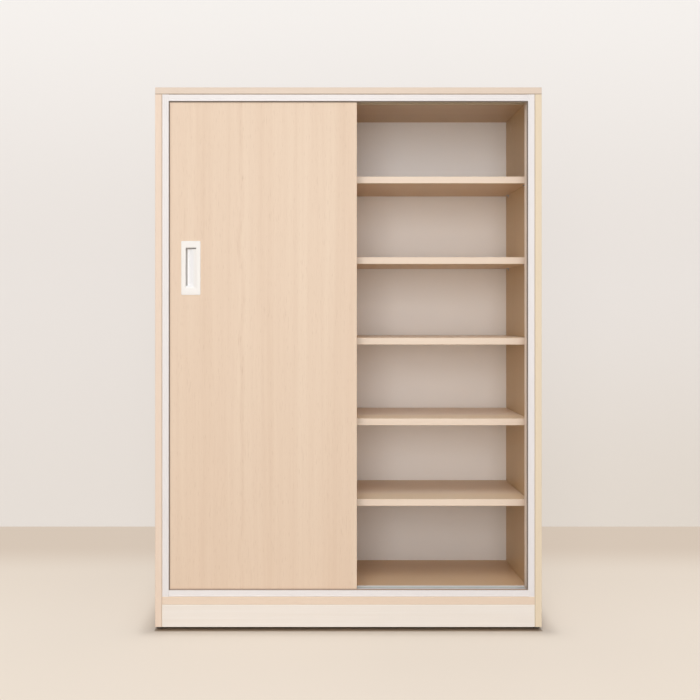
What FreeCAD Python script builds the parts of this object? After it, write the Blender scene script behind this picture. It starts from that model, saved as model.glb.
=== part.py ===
# Sliding door cabinet: two doors that pass each other in a two-channel frame, in front of two bays of
# shelves. Millimetres. +X is the viewer's right, +Y is the back and +Z is up. The origin is on the
# floor, in the middle of the cabinet. At rest both doors stand at the left, so the right bay is open.

import FreeCAD, Part
import math
import os

Vector = FreeCAD.Vector

# Case
WIDTH = 1000.0
DEPTH = 400.0
FOOT_HEIGHT = 10.0
PLINTH_HEIGHT = 58.0
INTERIOR_HEIGHT = 1300.0
TOP_THICKNESS = 18.0
BOTTOM_THICKNESS = 20.0
SIDE_THICKNESS = 18.0
DIVIDER_THICKNESS = 18.0
PLINTH_THICKNESS = 18.0
BRACE_THICKNESS = 18.0
PLINTH_SETBACK = 1.0
EDGE_RADIUS = 1.0

# Back panel, which stands in a groove in the boards round it
BACK_THICKNESS = 5.0
BACK_INSET = 10.0
GROOVE_DEPTH = 8.0
GROOVE_PLAY = 0.1
GROOVE_END_PLAY = 0.5

# Shelves
SHELF_THICKNESS = 18.0
FIRST_SHELF_RISE = 220.0
SHELF_PITCH = 215.0
LEAST_TOP_SPACE = 150.0
SHELF_SETBACK = 80.0
SHELF_END_PLAY = 1.0
SHELF_BACK_PLAY = 2.0

# Shelf pins
PIN_RADIUS = 2.5
PIN_HOLE_DEPTH = 8.0
PIN_END_PLAY = 0.5
PIN_INSET = 37.0
PIN_DROP = 3.5
BRACKET_SIZE = 7.0
BRACKET_REACH = 7.0
BRACKET_THICKNESS = 1.6

# Door frame, a section with one web and a leg either side of each channel
FRAME_SETBACK = 1.0
WEB_THICKNESS = 2.0
LEG_THICKNESS = 2.0
LEG_HEIGHT = 17.0
CHANNEL_WIDTH = 20.0
LEG_TIP_RADIUS = 0.5
FRAME_JOINT_GAP = 0.2
TRACK_SCREW_INSET = 80.0
TRACK_SCREWS = 3
JAMB_SCREW_INSET = 60.0
JAMB_SCREWS = 4

# Dust seals on the back of the frame's front leg, which stand out beyond it
SEAL_WIDTH = 5.5
SEAL_REACH = 2.8
SEAL_GAP = 0.4

# Doors
DOOR_THICKNESS = 16.0
DOOR_OVERLAP = 44.0
DOOR_BOTTOM_GAP = 8.0
DOOR_TOP_GAP = 9.0
EDGING_THICKNESS = 1.0
EDGING_RADIUS = 0.7
BUMPER_THICKNESS = 3.7
BUMPER_WIDTH = 12.0
BUMPER_HEIGHT = 30.0
BUMPER_RADIUS = 1.0
BUMPER_INSET = 200.0
BUMPER_GAP = 0.3

# Flush pull
PULL_WIDTH = 50.0
PULL_HEIGHT = 140.0
PULL_FROM_EDGE = 68.0
PULL_RISE = 841.0
PULL_CORNER_RADIUS = 3.0
RIM_THICKNESS = 1.5
RIM_EDGE_RADIUS = 0.9
CUP_WIDTH = 40.0
CUP_HEIGHT = 124.0
CUP_DEPTH = 10.5
CUP_CORNER_RADIUS = 4.0
CUP_PLAY = 0.3
MOUTH_WIDTH = 27.0
MOUTH_HEIGHT = 105.0
RECESS_DEPTH = 8.5
LIP_THICKNESS = 3.5
UNDERCUT = 2.5
SCOOP_RADIUS = 8.0

# Rollers under the doors
WHEEL_RADIUS = 10.0
WHEEL_WIDTH = 6.0
WHEEL_GAP = 0.3
WHEEL_EDGE_RADIUS = 0.8
WHEEL_FROM_EDGE = 60.0
HUB_RADIUS = 3.6
HUB_WIDTH = 6.8
RIM_INNER_RADIUS = 7.6
DISC_SINK = 1.2
AXLE_RADIUS = 2.0
AXLE_SEAT_PLAY = 0.02
AXLE_RUNNING_PLAY = 0.05
HOUSING_LENGTH = 40.0
HOUSING_WIDTH = 9.6
HOUSING_HEIGHT = 17.0
HOUSING_PLAY = 0.2
FORK_THICKNESS = 1.2
HOUSING_ROOF = 1.6
WHEEL_WELL_LENGTH = 26.0
PLATE_LENGTH = 66.0
PLATE_THICKNESS = 2.0
PLATE_CORNER_RADIUS = 3.0
PLATE_SCREW_INSET = 6.5
SIDE_PLAY = 0.3

# Guides on top of the doors
GUIDE_LENGTH = 44.0
GUIDE_FROM_EDGE = 60.0
GUIDE_CROWN = 3.0
GUIDE_CHEEK = 3.0
GUIDE_RADIUS = 0.8
GUIDE_SCREW_INSET = 9.0

# Countersunk screws, and the play round them
HEAD_SINK = 0.05
SCREW_PLAY = 0.05
TIP_LENGTH = 3.0
SLOT_WIDTH = 0.8
SLOT_DEPTH = 0.7
FRAME_SCREW = {"length": 16.0, "shank": 1.75, "head": 3.6}
HARDWARE_SCREW = {"length": 14.0, "shank": 1.5, "head": 2.9}
FOOT_SCREW = {"length": 24.0, "shank": 1.75, "head": 3.6}

# Fittings that join the boards
CAM_RADIUS = 7.5
CAM_HEIGHT = 12.5
CAM_PLAY = 0.1
CAM_SETBACK = 34.0
CAM_SLOT_LENGTH = 9.0
CAM_SLOT_WIDTH = 1.4
CAM_SLOT_DEPTH = 2.0
BOLT_SHANK_RADIUS = 3.0
BOLT_NECK_RADIUS = 1.8
BOLT_NECK_LENGTH = 4.0
BOLT_HEAD_RADIUS = 2.9
BOLT_HEAD_LENGTH = 3.0
BOLT_THREAD_RADIUS = 2.9
BOLT_THREAD_LENGTH = 11.0
BOLT_PLAY = 0.05
BOLT_HOLE_RADIUS = 3.5
CAP_RADIUS = 8.8
CAP_THICKNESS = 1.2
CAP_EDGE_RADIUS = 0.6
DOWEL_RADIUS = 4.0
DOWEL_LENGTH = 30.0
DOWEL_IN_FACE = 11.0
DOWEL_PLAY = 0.05
DOWEL_END_PLAY = 0.5
CASE_CAM_INSET = 90.0
CASE_DOWEL_INSET = 130.0
DIVIDER_CAM_INSET = 40.0
DIVIDER_DOWEL_INSET = 90.0
BRACE_DOWEL_SPACING = 28.0

# Feet
FOOT_LENGTH = 60.0
FOOT_WIDTH = 16.0
FOOT_CORNER_RADIUS = 5.0
FOOT_EDGE_RADIUS = 1.5
FOOT_FROM_END = 50.0
BRACE_FOOT_FROM_END = 80.0
FOOT_SCREW_SPACING = 34.0
FOOT_COUNTERBORE = 3.0

# Two places closer than this are the same
SAME_PLACE = 0.001

# Planes of the case
HALF_WIDTH = WIDTH / 2
INSIDE = HALF_WIDTH - SIDE_THICKNESS
FRONT = -DEPTH / 2
BACK = DEPTH / 2
PLINTH_TOP = FOOT_HEIGHT + PLINTH_HEIGHT
FLOOR = PLINTH_TOP + BOTTOM_THICKNESS
CEILING = FLOOR + INTERIOR_HEIGHT
TOP = CEILING + TOP_THICKNESS
BACK_PANEL_FACE = BACK - BACK_INSET - BACK_THICKNESS
HALF_DIVIDER = DIVIDER_THICKNESS / 2

# Shelves
SHELF_FRONT = FRONT + SHELF_SETBACK
SHELF_BACK = BACK_PANEL_FACE - SHELF_BACK_PLAY
SHELF_ROOM = INTERIOR_HEIGHT - FIRST_SHELF_RISE - SHELF_THICKNESS - LEAST_TOP_SPACE
SHELF_LEVELS = 1 + int(SHELF_ROOM // SHELF_PITCH)
PIN_ROWS = (SHELF_FRONT + PIN_INSET, SHELF_BACK - PIN_INSET)

# Frame
FRAME_FRONT = FRONT + FRAME_SETBACK
LEG_PITCH = CHANNEL_WIDTH + LEG_THICKNESS
FRONT_CHANNEL = FRAME_FRONT + LEG_THICKNESS + CHANNEL_WIDTH / 2
REAR_CHANNEL = FRONT_CHANNEL + LEG_PITCH
CHANNELS = (FRONT_CHANNEL, REAR_CHANNEL)
FRAME_DEPTH = len(CHANNELS) * LEG_PITCH + LEG_THICKNESS
TRACK_END = INSIDE - LEG_HEIGHT - FRAME_JOINT_GAP
TRACK_TOP = FLOOR + WEB_THICKNESS
JAMB_FACE = INSIDE - WEB_THICKNESS
SEAL_FRONT = FRAME_FRONT + LEG_THICKNESS
SEAL_BACK = SEAL_FRONT + (CHANNEL_WIDTH - DOOR_THICKNESS) / 2 - SEAL_GAP

# Doors
DOOR_STOP = JAMB_FACE - BUMPER_THICKNESS - BUMPER_GAP
DOOR_WIDTH = DOOR_STOP + DOOR_OVERLAP / 2
DOOR_LEFT = -DOOR_STOP
DOOR_RIGHT = DOOR_LEFT + DOOR_WIDTH
DOOR_BOTTOM = TRACK_TOP + DOOR_BOTTOM_GAP
DOOR_TOP = CEILING - WEB_THICKNESS - DOOR_TOP_GAP
PULL_LEVEL = DOOR_BOTTOM + PULL_RISE
WHEEL_LEVEL = TRACK_TOP + WHEEL_GAP + WHEEL_RADIUS
GLIDE_WIDTH = CHANNEL_WIDTH - 2 * SIDE_PLAY

RIGHTWARD = Vector(1, 0, 0)
LEFTWARD = Vector(-1, 0, 0)
BACKWARD = Vector(0, 1, 0)
FORWARD = Vector(0, -1, 0)
UP = Vector(0, 0, 1)
DOWN = Vector(0, 0, -1)

solids = {}
cutters = {}


def add(node, *shapes):
    """Put solids in a node."""
    solids.setdefault(node, []).extend(shapes)


def cut(nodes, *tools):
    """Cut shapes out of every solid of some nodes, once all pieces are made."""
    for node in nodes:
        cutters.setdefault(node, []).extend(tools)


def about(middle, size):
    """The low and high end of a size about its middle."""
    return middle - size / 2, middle + size / 2


def block(x, y, z):
    """Box between (end, end) pairs along X, Y and Z, given in any order."""
    low = Vector(min(x), min(y), min(z))
    return Part.makeBox(max(x) - low.x, max(y) - low.y, max(z) - low.z, low)


def rod(radius, start, direction, length):
    """Round bar from a point."""
    return Part.makeCylinder(radius, length, start, direction)


def fuse(shapes):
    """One solid from shapes that meet."""
    return shapes[0].fuse(shapes[1:]).removeSplitter()


def rounded(solid, radius, wanted):
    """Round the edges of a solid that a test on the edge picks."""
    return solid.makeFillet(radius, [edge for edge in solid.Edges if wanted(edge)])


def runs_along(direction):
    """Test for straight edges that run along a direction."""
    def wanted(edge):
        start, end = edge.firstVertex().Point, edge.lastVertex().Point
        return start.sub(end).cross(direction).Length < SAME_PLACE
    return wanted


def in_plane(normal, place):
    """Test for edges that lie in the plane across a direction, at a place along it."""
    def wanted(edge):
        return all(abs(vertex.Point.dot(normal) - place) < SAME_PLACE for vertex in edge.Vertexes)
    return wanted


def rounded_along(solid, radius, normal, place, direction):
    """Round the edges that lie in a plane and run along a direction."""
    flat, along = in_plane(normal, place), runs_along(direction)
    return rounded(solid, radius, lambda edge: flat(edge) and along(edge))


def placed(shape, point, up, side=None):
    """Copy of a shape, set at a point with its Z axis turned along up, and its Y axis along side."""
    if side:
        turn = FreeCAD.Rotation(side.cross(up), side, up, "ZYX")
    else:
        turn = FreeCAD.Rotation(UP, up)
    return shape.transformed(FreeCAD.Placement(point, turn).toMatrix(), True)


def screw(kind):
    """Countersunk screw pointing up the Z axis, with its head's face just above the origin."""
    head, shank, length = kind["head"], kind["shank"], kind["length"]
    head_height = head - shank
    cone = Part.makeCone(head, shank, head_height, Vector(0, 0, HEAD_SINK))
    bar = rod(shank, Vector(0, 0, HEAD_SINK + head_height), UP, length - head_height - TIP_LENGTH)
    tip = Part.makeCone(shank, 0, TIP_LENGTH, Vector(0, 0, HEAD_SINK + length - TIP_LENGTH))
    slots = [
        block(about(0, across), about(0, along), (0, HEAD_SINK + SLOT_DEPTH))
        for across, along in ((SLOT_WIDTH, head), (head, SLOT_WIDTH))
    ]
    return fuse([cone, bar, tip]).cut(slots)


def screw_hole(kind):
    """The hole that a countersunk screw sits in."""
    head, shank, length = kind["head"] + SCREW_PLAY, kind["shank"] + SCREW_PLAY, kind["length"]
    cone = Part.makeCone(head, shank, head - shank)
    return fuse([cone, rod(shank, Vector(0, 0, 0), UP, length + 2 * HEAD_SINK)])


def fasten(node, kind, boards, points, direction):
    """Screws of a kind at some points, with their holes in the pieces they pass through."""
    one_screw, one_hole = screw(kind), screw_hole(kind)
    for point in points:
        add(node, placed(one_screw, point, direction))
        cut(boards, placed(one_hole, point, direction))


def cam_lock(bolt_depth):
    """Cam lock that fills its bore down the Z axis, with room for its bolt along +Y."""
    barrel = rod(CAM_RADIUS - CAM_PLAY, Vector(0, 0, -CAM_HEIGHT), UP, CAM_HEIGHT - CAM_PLAY)
    bolt_end = Vector(0, -BOLT_HEAD_LENGTH, -bolt_depth)
    bolt_room = rod(BOLT_HOLE_RADIUS, bolt_end, BACKWARD, BOLT_HEAD_LENGTH + CAM_RADIUS)
    slots = [
        block(about(0, across), about(0, along), (-CAM_SLOT_DEPTH, 0))
        for across, along in ((CAM_SLOT_WIDTH, CAM_SLOT_LENGTH), (CAM_SLOT_LENGTH, CAM_SLOT_WIDTH))
    ]
    return barrel.cut([bolt_room, *slots])


def cam_bolt():
    """Bolt up the Z axis: its thread ends at the origin's far side and its head is in the cam."""
    neck_start = CAM_SETBACK - BOLT_NECK_LENGTH - BOLT_HEAD_LENGTH / 2
    thread = rod(BOLT_THREAD_RADIUS, Vector(0, 0, -BOLT_THREAD_LENGTH), UP, BOLT_THREAD_LENGTH)
    shank = rod(BOLT_SHANK_RADIUS, Vector(0, 0, 0), UP, neck_start)
    neck = rod(BOLT_NECK_RADIUS, Vector(0, 0, neck_start), UP, BOLT_NECK_LENGTH)
    head_start = Vector(0, 0, neck_start + BOLT_NECK_LENGTH)
    return fuse([thread, shank, neck, rod(BOLT_HEAD_RADIUS, head_start, UP, BOLT_HEAD_LENGTH)])


def join_with_cam(edge_board, face_board, point, inward, face, thickness, capped=False):
    """Cam lock in edge_board and its bolt in face_board.

    point is where the bolt crosses the joint, inward points from there into edge_board, and face
    points from the middle of edge_board to the side that the cam is bored from.
    """
    outside = point + inward * CAM_SETBACK + face * (thickness / 2)
    add("cam_locks", placed(cam_lock(thickness / 2), outside, face, inward * -1))
    add("cam_bolts", placed(cam_bolt(), point, inward))
    bore = rod(CAM_RADIUS, outside, face * -1, CAM_HEIGHT + CAM_PLAY)
    bolt_hole = rod(BOLT_HOLE_RADIUS, point, inward, CAM_SETBACK + BOLT_HEAD_LENGTH)
    cut([edge_board], bore, bolt_hole)
    thread_depth = BOLT_THREAD_LENGTH + BOLT_PLAY
    cut([face_board], rod(BOLT_THREAD_RADIUS + BOLT_PLAY, point, inward * -1, thread_depth))
    if capped:
        cap = rod(CAP_RADIUS, outside, face, CAP_THICKNESS)
        outer_plane = (outside + face * CAP_THICKNESS).dot(face)
        add("cam_cover_caps", rounded(
            cap, CAP_EDGE_RADIUS,
            lambda edge: abs(edge.CenterOfMass.dot(face) - outer_plane) < SAME_PLACE,
        ))


def join_with_dowel(edge_board, face_board, point, inward):
    """Wooden dowel across a joint, most of it in edge_board."""
    start = point - inward * DOWEL_IN_FACE
    add("wood_dowels", rod(DOWEL_RADIUS - DOWEL_PLAY, start, inward, DOWEL_LENGTH))
    hole_start = start - inward * DOWEL_END_PLAY
    hole = rod(DOWEL_RADIUS, hole_start, inward, DOWEL_LENGTH + 2 * DOWEL_END_PLAY)
    cut([edge_board, face_board], hole)


def inset_pair(front, back, inset):
    """Two places, each an inset in from one end."""
    return front + inset, back - inset


def side_panels():
    """Left and right sides, full height under the top panel."""
    for name, side in (("side_panel_left", -1), ("side_panel_right", 1)):
        panel = block((side * INSIDE, side * HALF_WIDTH), (FRONT, BACK), (FOOT_HEIGHT, CEILING))
        add(name, rounded(panel, EDGE_RADIUS, in_plane(BACKWARD, FRONT)))


def top_and_bottom_panels():
    """The top lies on the sides, and the bottom stands between them."""
    top = block((-HALF_WIDTH, HALF_WIDTH), (FRONT, BACK), (CEILING, TOP))
    add("top_panel", rounded(top, EDGE_RADIUS, lambda edge: True))
    bottom = block((-INSIDE, INSIDE), (FRONT, BACK), (PLINTH_TOP, FLOOR))
    add("bottom_panel", rounded(bottom, EDGE_RADIUS, in_plane(BACKWARD, FRONT)))


def centre_divider():
    """Upright between the bays, flush with the fronts of the shelves."""
    divider = block((-HALF_DIVIDER, HALF_DIVIDER), (SHELF_FRONT, BACK_PANEL_FACE), (FLOOR, CEILING))
    add("centre_divider", rounded(divider, EDGE_RADIUS, in_plane(BACKWARD, SHELF_FRONT)))


def back_panel():
    """Thin back, let into a groove all round."""
    reach = GROOVE_DEPTH - GROOVE_END_PLAY
    rear = BACK_PANEL_FACE + BACK_THICKNESS
    half = INSIDE + reach
    add("back_panel", block((-half, half), (BACK_PANEL_FACE, rear), (FLOOR - reach, CEILING + reach)))
    groove = block(
        (-INSIDE - GROOVE_DEPTH, INSIDE + GROOVE_DEPTH),
        (BACK_PANEL_FACE - GROOVE_PLAY, rear + GROOVE_PLAY),
        (FLOOR - GROOVE_DEPTH, CEILING + GROOVE_DEPTH),
    )
    cut(["side_panel_left", "side_panel_right", "top_panel", "bottom_panel"], groove)


def plinths():
    """Front and rear plinths under the bottom panel, with a brace between them."""
    front_face = FRONT + PLINTH_SETBACK
    rear_face = BACK - PLINTH_SETBACK
    height = (FOOT_HEIGHT, PLINTH_TOP)
    front = block((-INSIDE, INSIDE), (front_face, front_face + PLINTH_THICKNESS), height)
    add("plinth_front", rounded(front, EDGE_RADIUS, in_plane(BACKWARD, front_face)))
    add("plinth_rear", block((-INSIDE, INSIDE), (rear_face - PLINTH_THICKNESS, rear_face), height))
    inner_front = front_face + PLINTH_THICKNESS
    inner_rear = rear_face - PLINTH_THICKNESS
    add("plinth_brace", block(about(0, BRACE_THICKNESS), (inner_front, inner_rear), height))
    middle = (FOOT_HEIGHT + PLINTH_TOP) / 2
    for level in about(middle, BRACE_DOWEL_SPACING):
        join_with_dowel("plinth_brace", "plinth_front", Vector(0, inner_front, level), BACKWARD)
        join_with_dowel("plinth_brace", "plinth_rear", Vector(0, inner_rear, level), FORWARD)
    for side, panel, inward in (
        (-1, "side_panel_left", RIGHTWARD),
        (1, "side_panel_right", LEFTWARD),
    ):
        for plinth, face, face_plane in (
            ("plinth_front", BACKWARD, inner_front),
            ("plinth_rear", FORWARD, inner_rear),
        ):
            point = Vector(side * INSIDE, face_plane, middle) - face * (PLINTH_THICKNESS / 2)
            join_with_cam(plinth, panel, point, inward, face, PLINTH_THICKNESS)


def case_joints():
    """Cams and dowels between the sides, the top and the bottom."""
    side_middle = INSIDE + SIDE_THICKNESS / 2
    bottom_middle = FLOOR - BOTTOM_THICKNESS / 2
    for side, panel, inward in (
        (-1, "side_panel_left", RIGHTWARD),
        (1, "side_panel_right", LEFTWARD),
    ):
        for y in inset_pair(FRONT, BACK, CASE_CAM_INSET):
            top_point = Vector(side * side_middle, y, CEILING)
            join_with_cam(panel, "top_panel", top_point, DOWN, inward, SIDE_THICKNESS, True)
            bottom_point = Vector(side * INSIDE, y, bottom_middle)
            join_with_cam("bottom_panel", panel, bottom_point, inward, DOWN, BOTTOM_THICKNESS)
        for y in inset_pair(FRONT, BACK, CASE_DOWEL_INSET):
            join_with_dowel(panel, "top_panel", Vector(side * side_middle, y, CEILING), DOWN)
            join_with_dowel("bottom_panel", panel, Vector(side * INSIDE, y, bottom_middle), inward)


def divider_joints():
    """Cams and dowels at both ends of the divider."""
    for board, level, inward in (("top_panel", CEILING, DOWN), ("bottom_panel", FLOOR, UP)):
        for y in inset_pair(SHELF_FRONT, BACK_PANEL_FACE, DIVIDER_CAM_INSET):
            point = Vector(0, y, level)
            join_with_cam("centre_divider", board, point, inward, RIGHTWARD, DIVIDER_THICKNESS, True)
        for y in inset_pair(SHELF_FRONT, BACK_PANEL_FACE, DIVIDER_DOWEL_INSET):
            join_with_dowel("centre_divider", board, Vector(0, y, level), inward)


def shelf_pin(hold, inward, y, underside):
    """Angle bracket with a pin, on the upright whose face is at x = hold."""
    upright = Vector(hold, 0, 0) + inward * BRACKET_THICKNESS
    tongue = Vector(hold, 0, 0) + inward * BRACKET_REACH
    width = about(y, BRACKET_SIZE)
    plate = block((hold, upright.x), width, (underside - BRACKET_SIZE, underside))
    rest = block((hold, tongue.x), width, (underside - BRACKET_THICKNESS, underside))
    start = Vector(hold, y, underside - PIN_DROP)
    pin = rod(PIN_RADIUS - SCREW_PLAY, start, inward * -1, PIN_HOLE_DEPTH - PIN_END_PLAY)
    return fuse([plate, rest, pin]), rod(PIN_RADIUS, start, inward * -1, PIN_HOLE_DEPTH)


def shelves():
    """Shelves of both bays, from the lowest up, each on four pins."""
    for bay, side in (("left", -1), ("right", 1)):
        uprights = (
            ("centre_divider", side * HALF_DIVIDER, RIGHTWARD * side),
            (f"side_panel_{bay}", side * INSIDE, LEFTWARD * side),
        )
        ends = (side * (HALF_DIVIDER + SHELF_END_PLAY), side * (INSIDE - SHELF_END_PLAY))
        for level in range(SHELF_LEVELS):
            underside = FLOOR + FIRST_SHELF_RISE + level * SHELF_PITCH
            board = block(ends, (SHELF_FRONT, SHELF_BACK), (underside, underside + SHELF_THICKNESS))
            add(f"shelf_{bay}_{level + 1}", rounded(board, EDGE_RADIUS, in_plane(BACKWARD, SHELF_FRONT)))
            for upright, face, inward in uprights:
                for y in PIN_ROWS:
                    pin, hole = shelf_pin(face, inward, y, underside)
                    add("shelf_pins", pin)
                    cut([upright], hole)


def frame_bar(start, end, inward):
    """Length of the frame section between two points on its front edge, with legs that point inward."""
    def strip(depth, rise):
        near = start + BACKWARD * depth[0] + inward * rise[0]
        far = end + BACKWARD * depth[1] + inward * rise[1]
        return block((near.x, far.x), (near.y, far.y), (near.z, far.z))

    web = strip((0, FRAME_DEPTH), (0, WEB_THICKNESS))
    fronts = [leg * LEG_PITCH for leg in range(len(CHANNELS) + 1)]
    legs = [strip((front, front + LEG_THICKNESS), (0, LEG_HEIGHT)) for front in fronts]
    tips = start.dot(inward) + LEG_HEIGHT
    return rounded_along(fuse([web, *legs]), LEG_TIP_RADIUS, inward, tips, end - start)


def door_frame():
    """Top and bottom tracks between two full-height jambs."""
    for name, side, inward in (("jamb_left", -1, RIGHTWARD), ("jamb_right", 1, LEFTWARD)):
        low = Vector(side * INSIDE, FRAME_FRONT, FLOOR)
        high = Vector(side * INSIDE, FRAME_FRONT, CEILING)
        add(name, frame_bar(low, high, inward))
    for name, level, inward in (("bottom_track", FLOOR, UP), ("top_track", CEILING, DOWN)):
        left = Vector(-TRACK_END, FRAME_FRONT, level)
        right = Vector(TRACK_END, FRAME_FRONT, level)
        add(name, frame_bar(left, right, inward))


def dust_seals():
    """Soft strips that close the gap between the frame's front leg and the front door."""
    edge = LEG_HEIGHT + SEAL_REACH
    rise = (edge - SEAL_WIDTH, edge)
    depth = (SEAL_FRONT, SEAL_BACK)
    height = (TRACK_TOP, CEILING - WEB_THICKNESS)
    reach = INSIDE - edge - FRAME_JOINT_GAP
    for name, side in (("dust_seal_left", -1), ("dust_seal_right", 1)):
        add(name, block([side * (INSIDE - far) for far in rise], depth, height))
    add("dust_seal_bottom", block((-reach, reach), depth, [FLOOR + far for far in rise]))
    add("dust_seal_top", block((-reach, reach), depth, [CEILING - far for far in rise]))


def frame_screws():
    """Screws along the middle of each channel, into the boards behind the frame."""
    reach = TRACK_END - TRACK_SCREW_INSET
    for step in range(TRACK_SCREWS):
        x = -reach + 2 * reach * step / (TRACK_SCREWS - 1)
        low = [Vector(x, y, TRACK_TOP) for y in CHANNELS]
        high = [Vector(x, y, CEILING - WEB_THICKNESS) for y in CHANNELS]
        fasten("frame_screws", FRAME_SCREW, ["bottom_track", "bottom_panel"], low, DOWN)
        fasten("frame_screws", FRAME_SCREW, ["top_track", "top_panel"], high, UP)
    spacing = (INTERIOR_HEIGHT - 2 * JAMB_SCREW_INSET) / (JAMB_SCREWS - 1)
    for step in range(JAMB_SCREWS):
        z = FLOOR + JAMB_SCREW_INSET + spacing * step
        for bay, side in (("left", -1), ("right", 1)):
            points = [Vector(side * JAMB_FACE, y, z) for y in CHANNELS]
            boards = [f"jamb_{bay}", f"side_panel_{bay}"]
            fasten("frame_screws", FRAME_SCREW, boards, points, RIGHTWARD * side)


def door_bumpers():
    """Rubber stops on the webs of the jambs, low and high in each channel."""
    for side in (-1, 1):
        for y in CHANNELS:
            for z in inset_pair(FLOOR, CEILING, BUMPER_INSET):
                face = side * (JAMB_FACE - BUMPER_THICKNESS)
                pad = block((side * JAMB_FACE, face), about(y, BUMPER_WIDTH), about(z, BUMPER_HEIGHT))
                add("door_bumpers", rounded(pad, BUMPER_RADIUS, in_plane(RIGHTWARD, face)))


def floor_feet():
    """Low feet under the sides and under the plinth brace."""
    side_middle = INSIDE + SIDE_THICKNESS / 2
    spots = [
        (side * side_middle, y, panel)
        for side, panel in ((-1, "side_panel_left"), (1, "side_panel_right"))
        for y in inset_pair(FRONT, BACK, FOOT_FROM_END)
    ]
    spots += [(0, y, "plinth_brace") for y in inset_pair(FRONT, BACK, BRACE_FOOT_FROM_END)]
    for x, y, board in spots:
        pad = block(about(x, FOOT_WIDTH), about(y, FOOT_LENGTH), (0, FOOT_HEIGHT))
        pad = rounded(pad, FOOT_CORNER_RADIUS, runs_along(UP))
        add("floor_feet", rounded(pad, FOOT_EDGE_RADIUS, in_plane(UP, 0)))
        points = [Vector(x, end, FOOT_COUNTERBORE) for end in about(y, FOOT_SCREW_SPACING)]
        fasten("foot_screws", FOOT_SCREW, ["floor_feet", board], points, UP)
        for point in points:
            head_room = rod(FOOT_SCREW["head"] + SCREW_PLAY, point, DOWN, FOOT_COUNTERBORE)
            cut(["floor_feet"], head_room)


def rounded_plate(width, height, y, radius):
    """Upright plate about the origin in X and Z, between two planes in Y, with round corners."""
    plate = block(about(0, width), y, about(0, height))
    return rounded(plate, radius, runs_along(BACKWARD))


def pull_recess():
    """Finger recess: a hooked lip at its left, and a scoop that rises to the face at its right."""
    left = -MOUTH_WIDTH / 2
    right = MOUTH_WIDTH / 2
    hook = left - UNDERCUT
    scoop_start = right - SCOOP_RADIUS
    scoop_top = RECESS_DEPTH - SCOOP_RADIUS
    turn = math.sqrt(0.5) * SCOOP_RADIUS
    base = -MOUTH_HEIGHT / 2
    outline = [
        (right, scoop_top), (right, -RIM_THICKNESS), (left, -RIM_THICKNESS), (left, LIP_THICKNESS),
        (hook, LIP_THICKNESS), (hook, RECESS_DEPTH), (scoop_start, RECESS_DEPTH),
    ]
    points = [Vector(x, y, base) for x, y in outline]
    edges = [Part.makeLine(start, end) for start, end in zip(points, points[1:])]
    middle = Vector(scoop_start + turn, scoop_top + turn, base)
    edges.append(Part.Arc(points[-1], middle, points[0]).toShape())
    return Part.Face(Part.Wire(edges)).extrude(Vector(0, 0, MOUTH_HEIGHT))


def flush_pull():
    """Pull about the origin, with the face of its rim at y = 0 and the closing edge at its left."""
    rim = rounded_plate(PULL_WIDTH, PULL_HEIGHT, (0, RIM_THICKNESS), PULL_CORNER_RADIUS)
    rim = rounded(rim, RIM_EDGE_RADIUS, in_plane(BACKWARD, 0))
    cup_back = RIM_THICKNESS + CUP_DEPTH
    cup = rounded_plate(CUP_WIDTH, CUP_HEIGHT, (RIM_THICKNESS, cup_back), CUP_CORNER_RADIUS)
    return fuse([rim, cup]).cut(pull_recess())


def pull_pocket():
    """The pocket in a door that the pull's cup sits in."""
    pocket_back = RIM_THICKNESS + CUP_DEPTH + CUP_PLAY
    play = 2 * CUP_PLAY
    radius = CUP_CORNER_RADIUS + CUP_PLAY
    return rounded_plate(CUP_WIDTH + play, CUP_HEIGHT + play, (0, pocket_back), radius)


def door_wheel():
    """Wheel about the origin, turning about Y."""
    tyre = rod(WHEEL_RADIUS, Vector(0, -WHEEL_WIDTH / 2, 0), BACKWARD, WHEEL_WIDTH)
    tyre = tyre.makeFillet(WHEEL_EDGE_RADIUS, [e for e in tyre.Edges if len(e.Vertexes) == 1])
    for face in (-1, 1):
        start = Vector(0, face * WHEEL_WIDTH / 2, 0)
        sink = rod(RIM_INNER_RADIUS, start, BACKWARD * -face, DISC_SINK)
        tyre = tyre.cut(sink)
    hub = rod(HUB_RADIUS, Vector(0, -HUB_WIDTH / 2, 0), BACKWARD, HUB_WIDTH)
    bore = rod(AXLE_RADIUS + AXLE_RUNNING_PLAY, Vector(0, -HUB_WIDTH, 0), BACKWARD, 2 * HUB_WIDTH)
    return fuse([tyre, hub]).cut(bore)


def roller_housing():
    """Fork and plate about the wheel's X and Y, with the plate's upper face at z = 0."""
    plate = block(about(0, PLATE_LENGTH), about(0, GLIDE_WIDTH), (-PLATE_THICKNESS, 0))
    plate = rounded(plate, PLATE_CORNER_RADIUS, runs_along(UP))
    body = block(about(0, HOUSING_LENGTH), about(0, HOUSING_WIDTH), (0, HOUSING_HEIGHT))
    well = block(
        about(0, WHEEL_WELL_LENGTH),
        about(0, HOUSING_WIDTH - 2 * FORK_THICKNESS),
        (-PLATE_THICKNESS, HOUSING_HEIGHT - HOUSING_ROOF),
    )
    axle_rise = WHEEL_LEVEL - DOOR_BOTTOM
    start = Vector(0, -HOUSING_WIDTH / 2, axle_rise)
    seat = rod(AXLE_RADIUS + AXLE_SEAT_PLAY, start, BACKWARD, HOUSING_WIDTH)
    return fuse([plate, body]).cut([well, seat])


def housing_pocket():
    """The pocket in the bottom of a door that a roller housing's fork sits in."""
    play = 2 * HOUSING_PLAY
    height = (0, HOUSING_HEIGHT + HOUSING_PLAY)
    return block(about(0, HOUSING_LENGTH + play), about(0, HOUSING_WIDTH + play), height)


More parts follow.
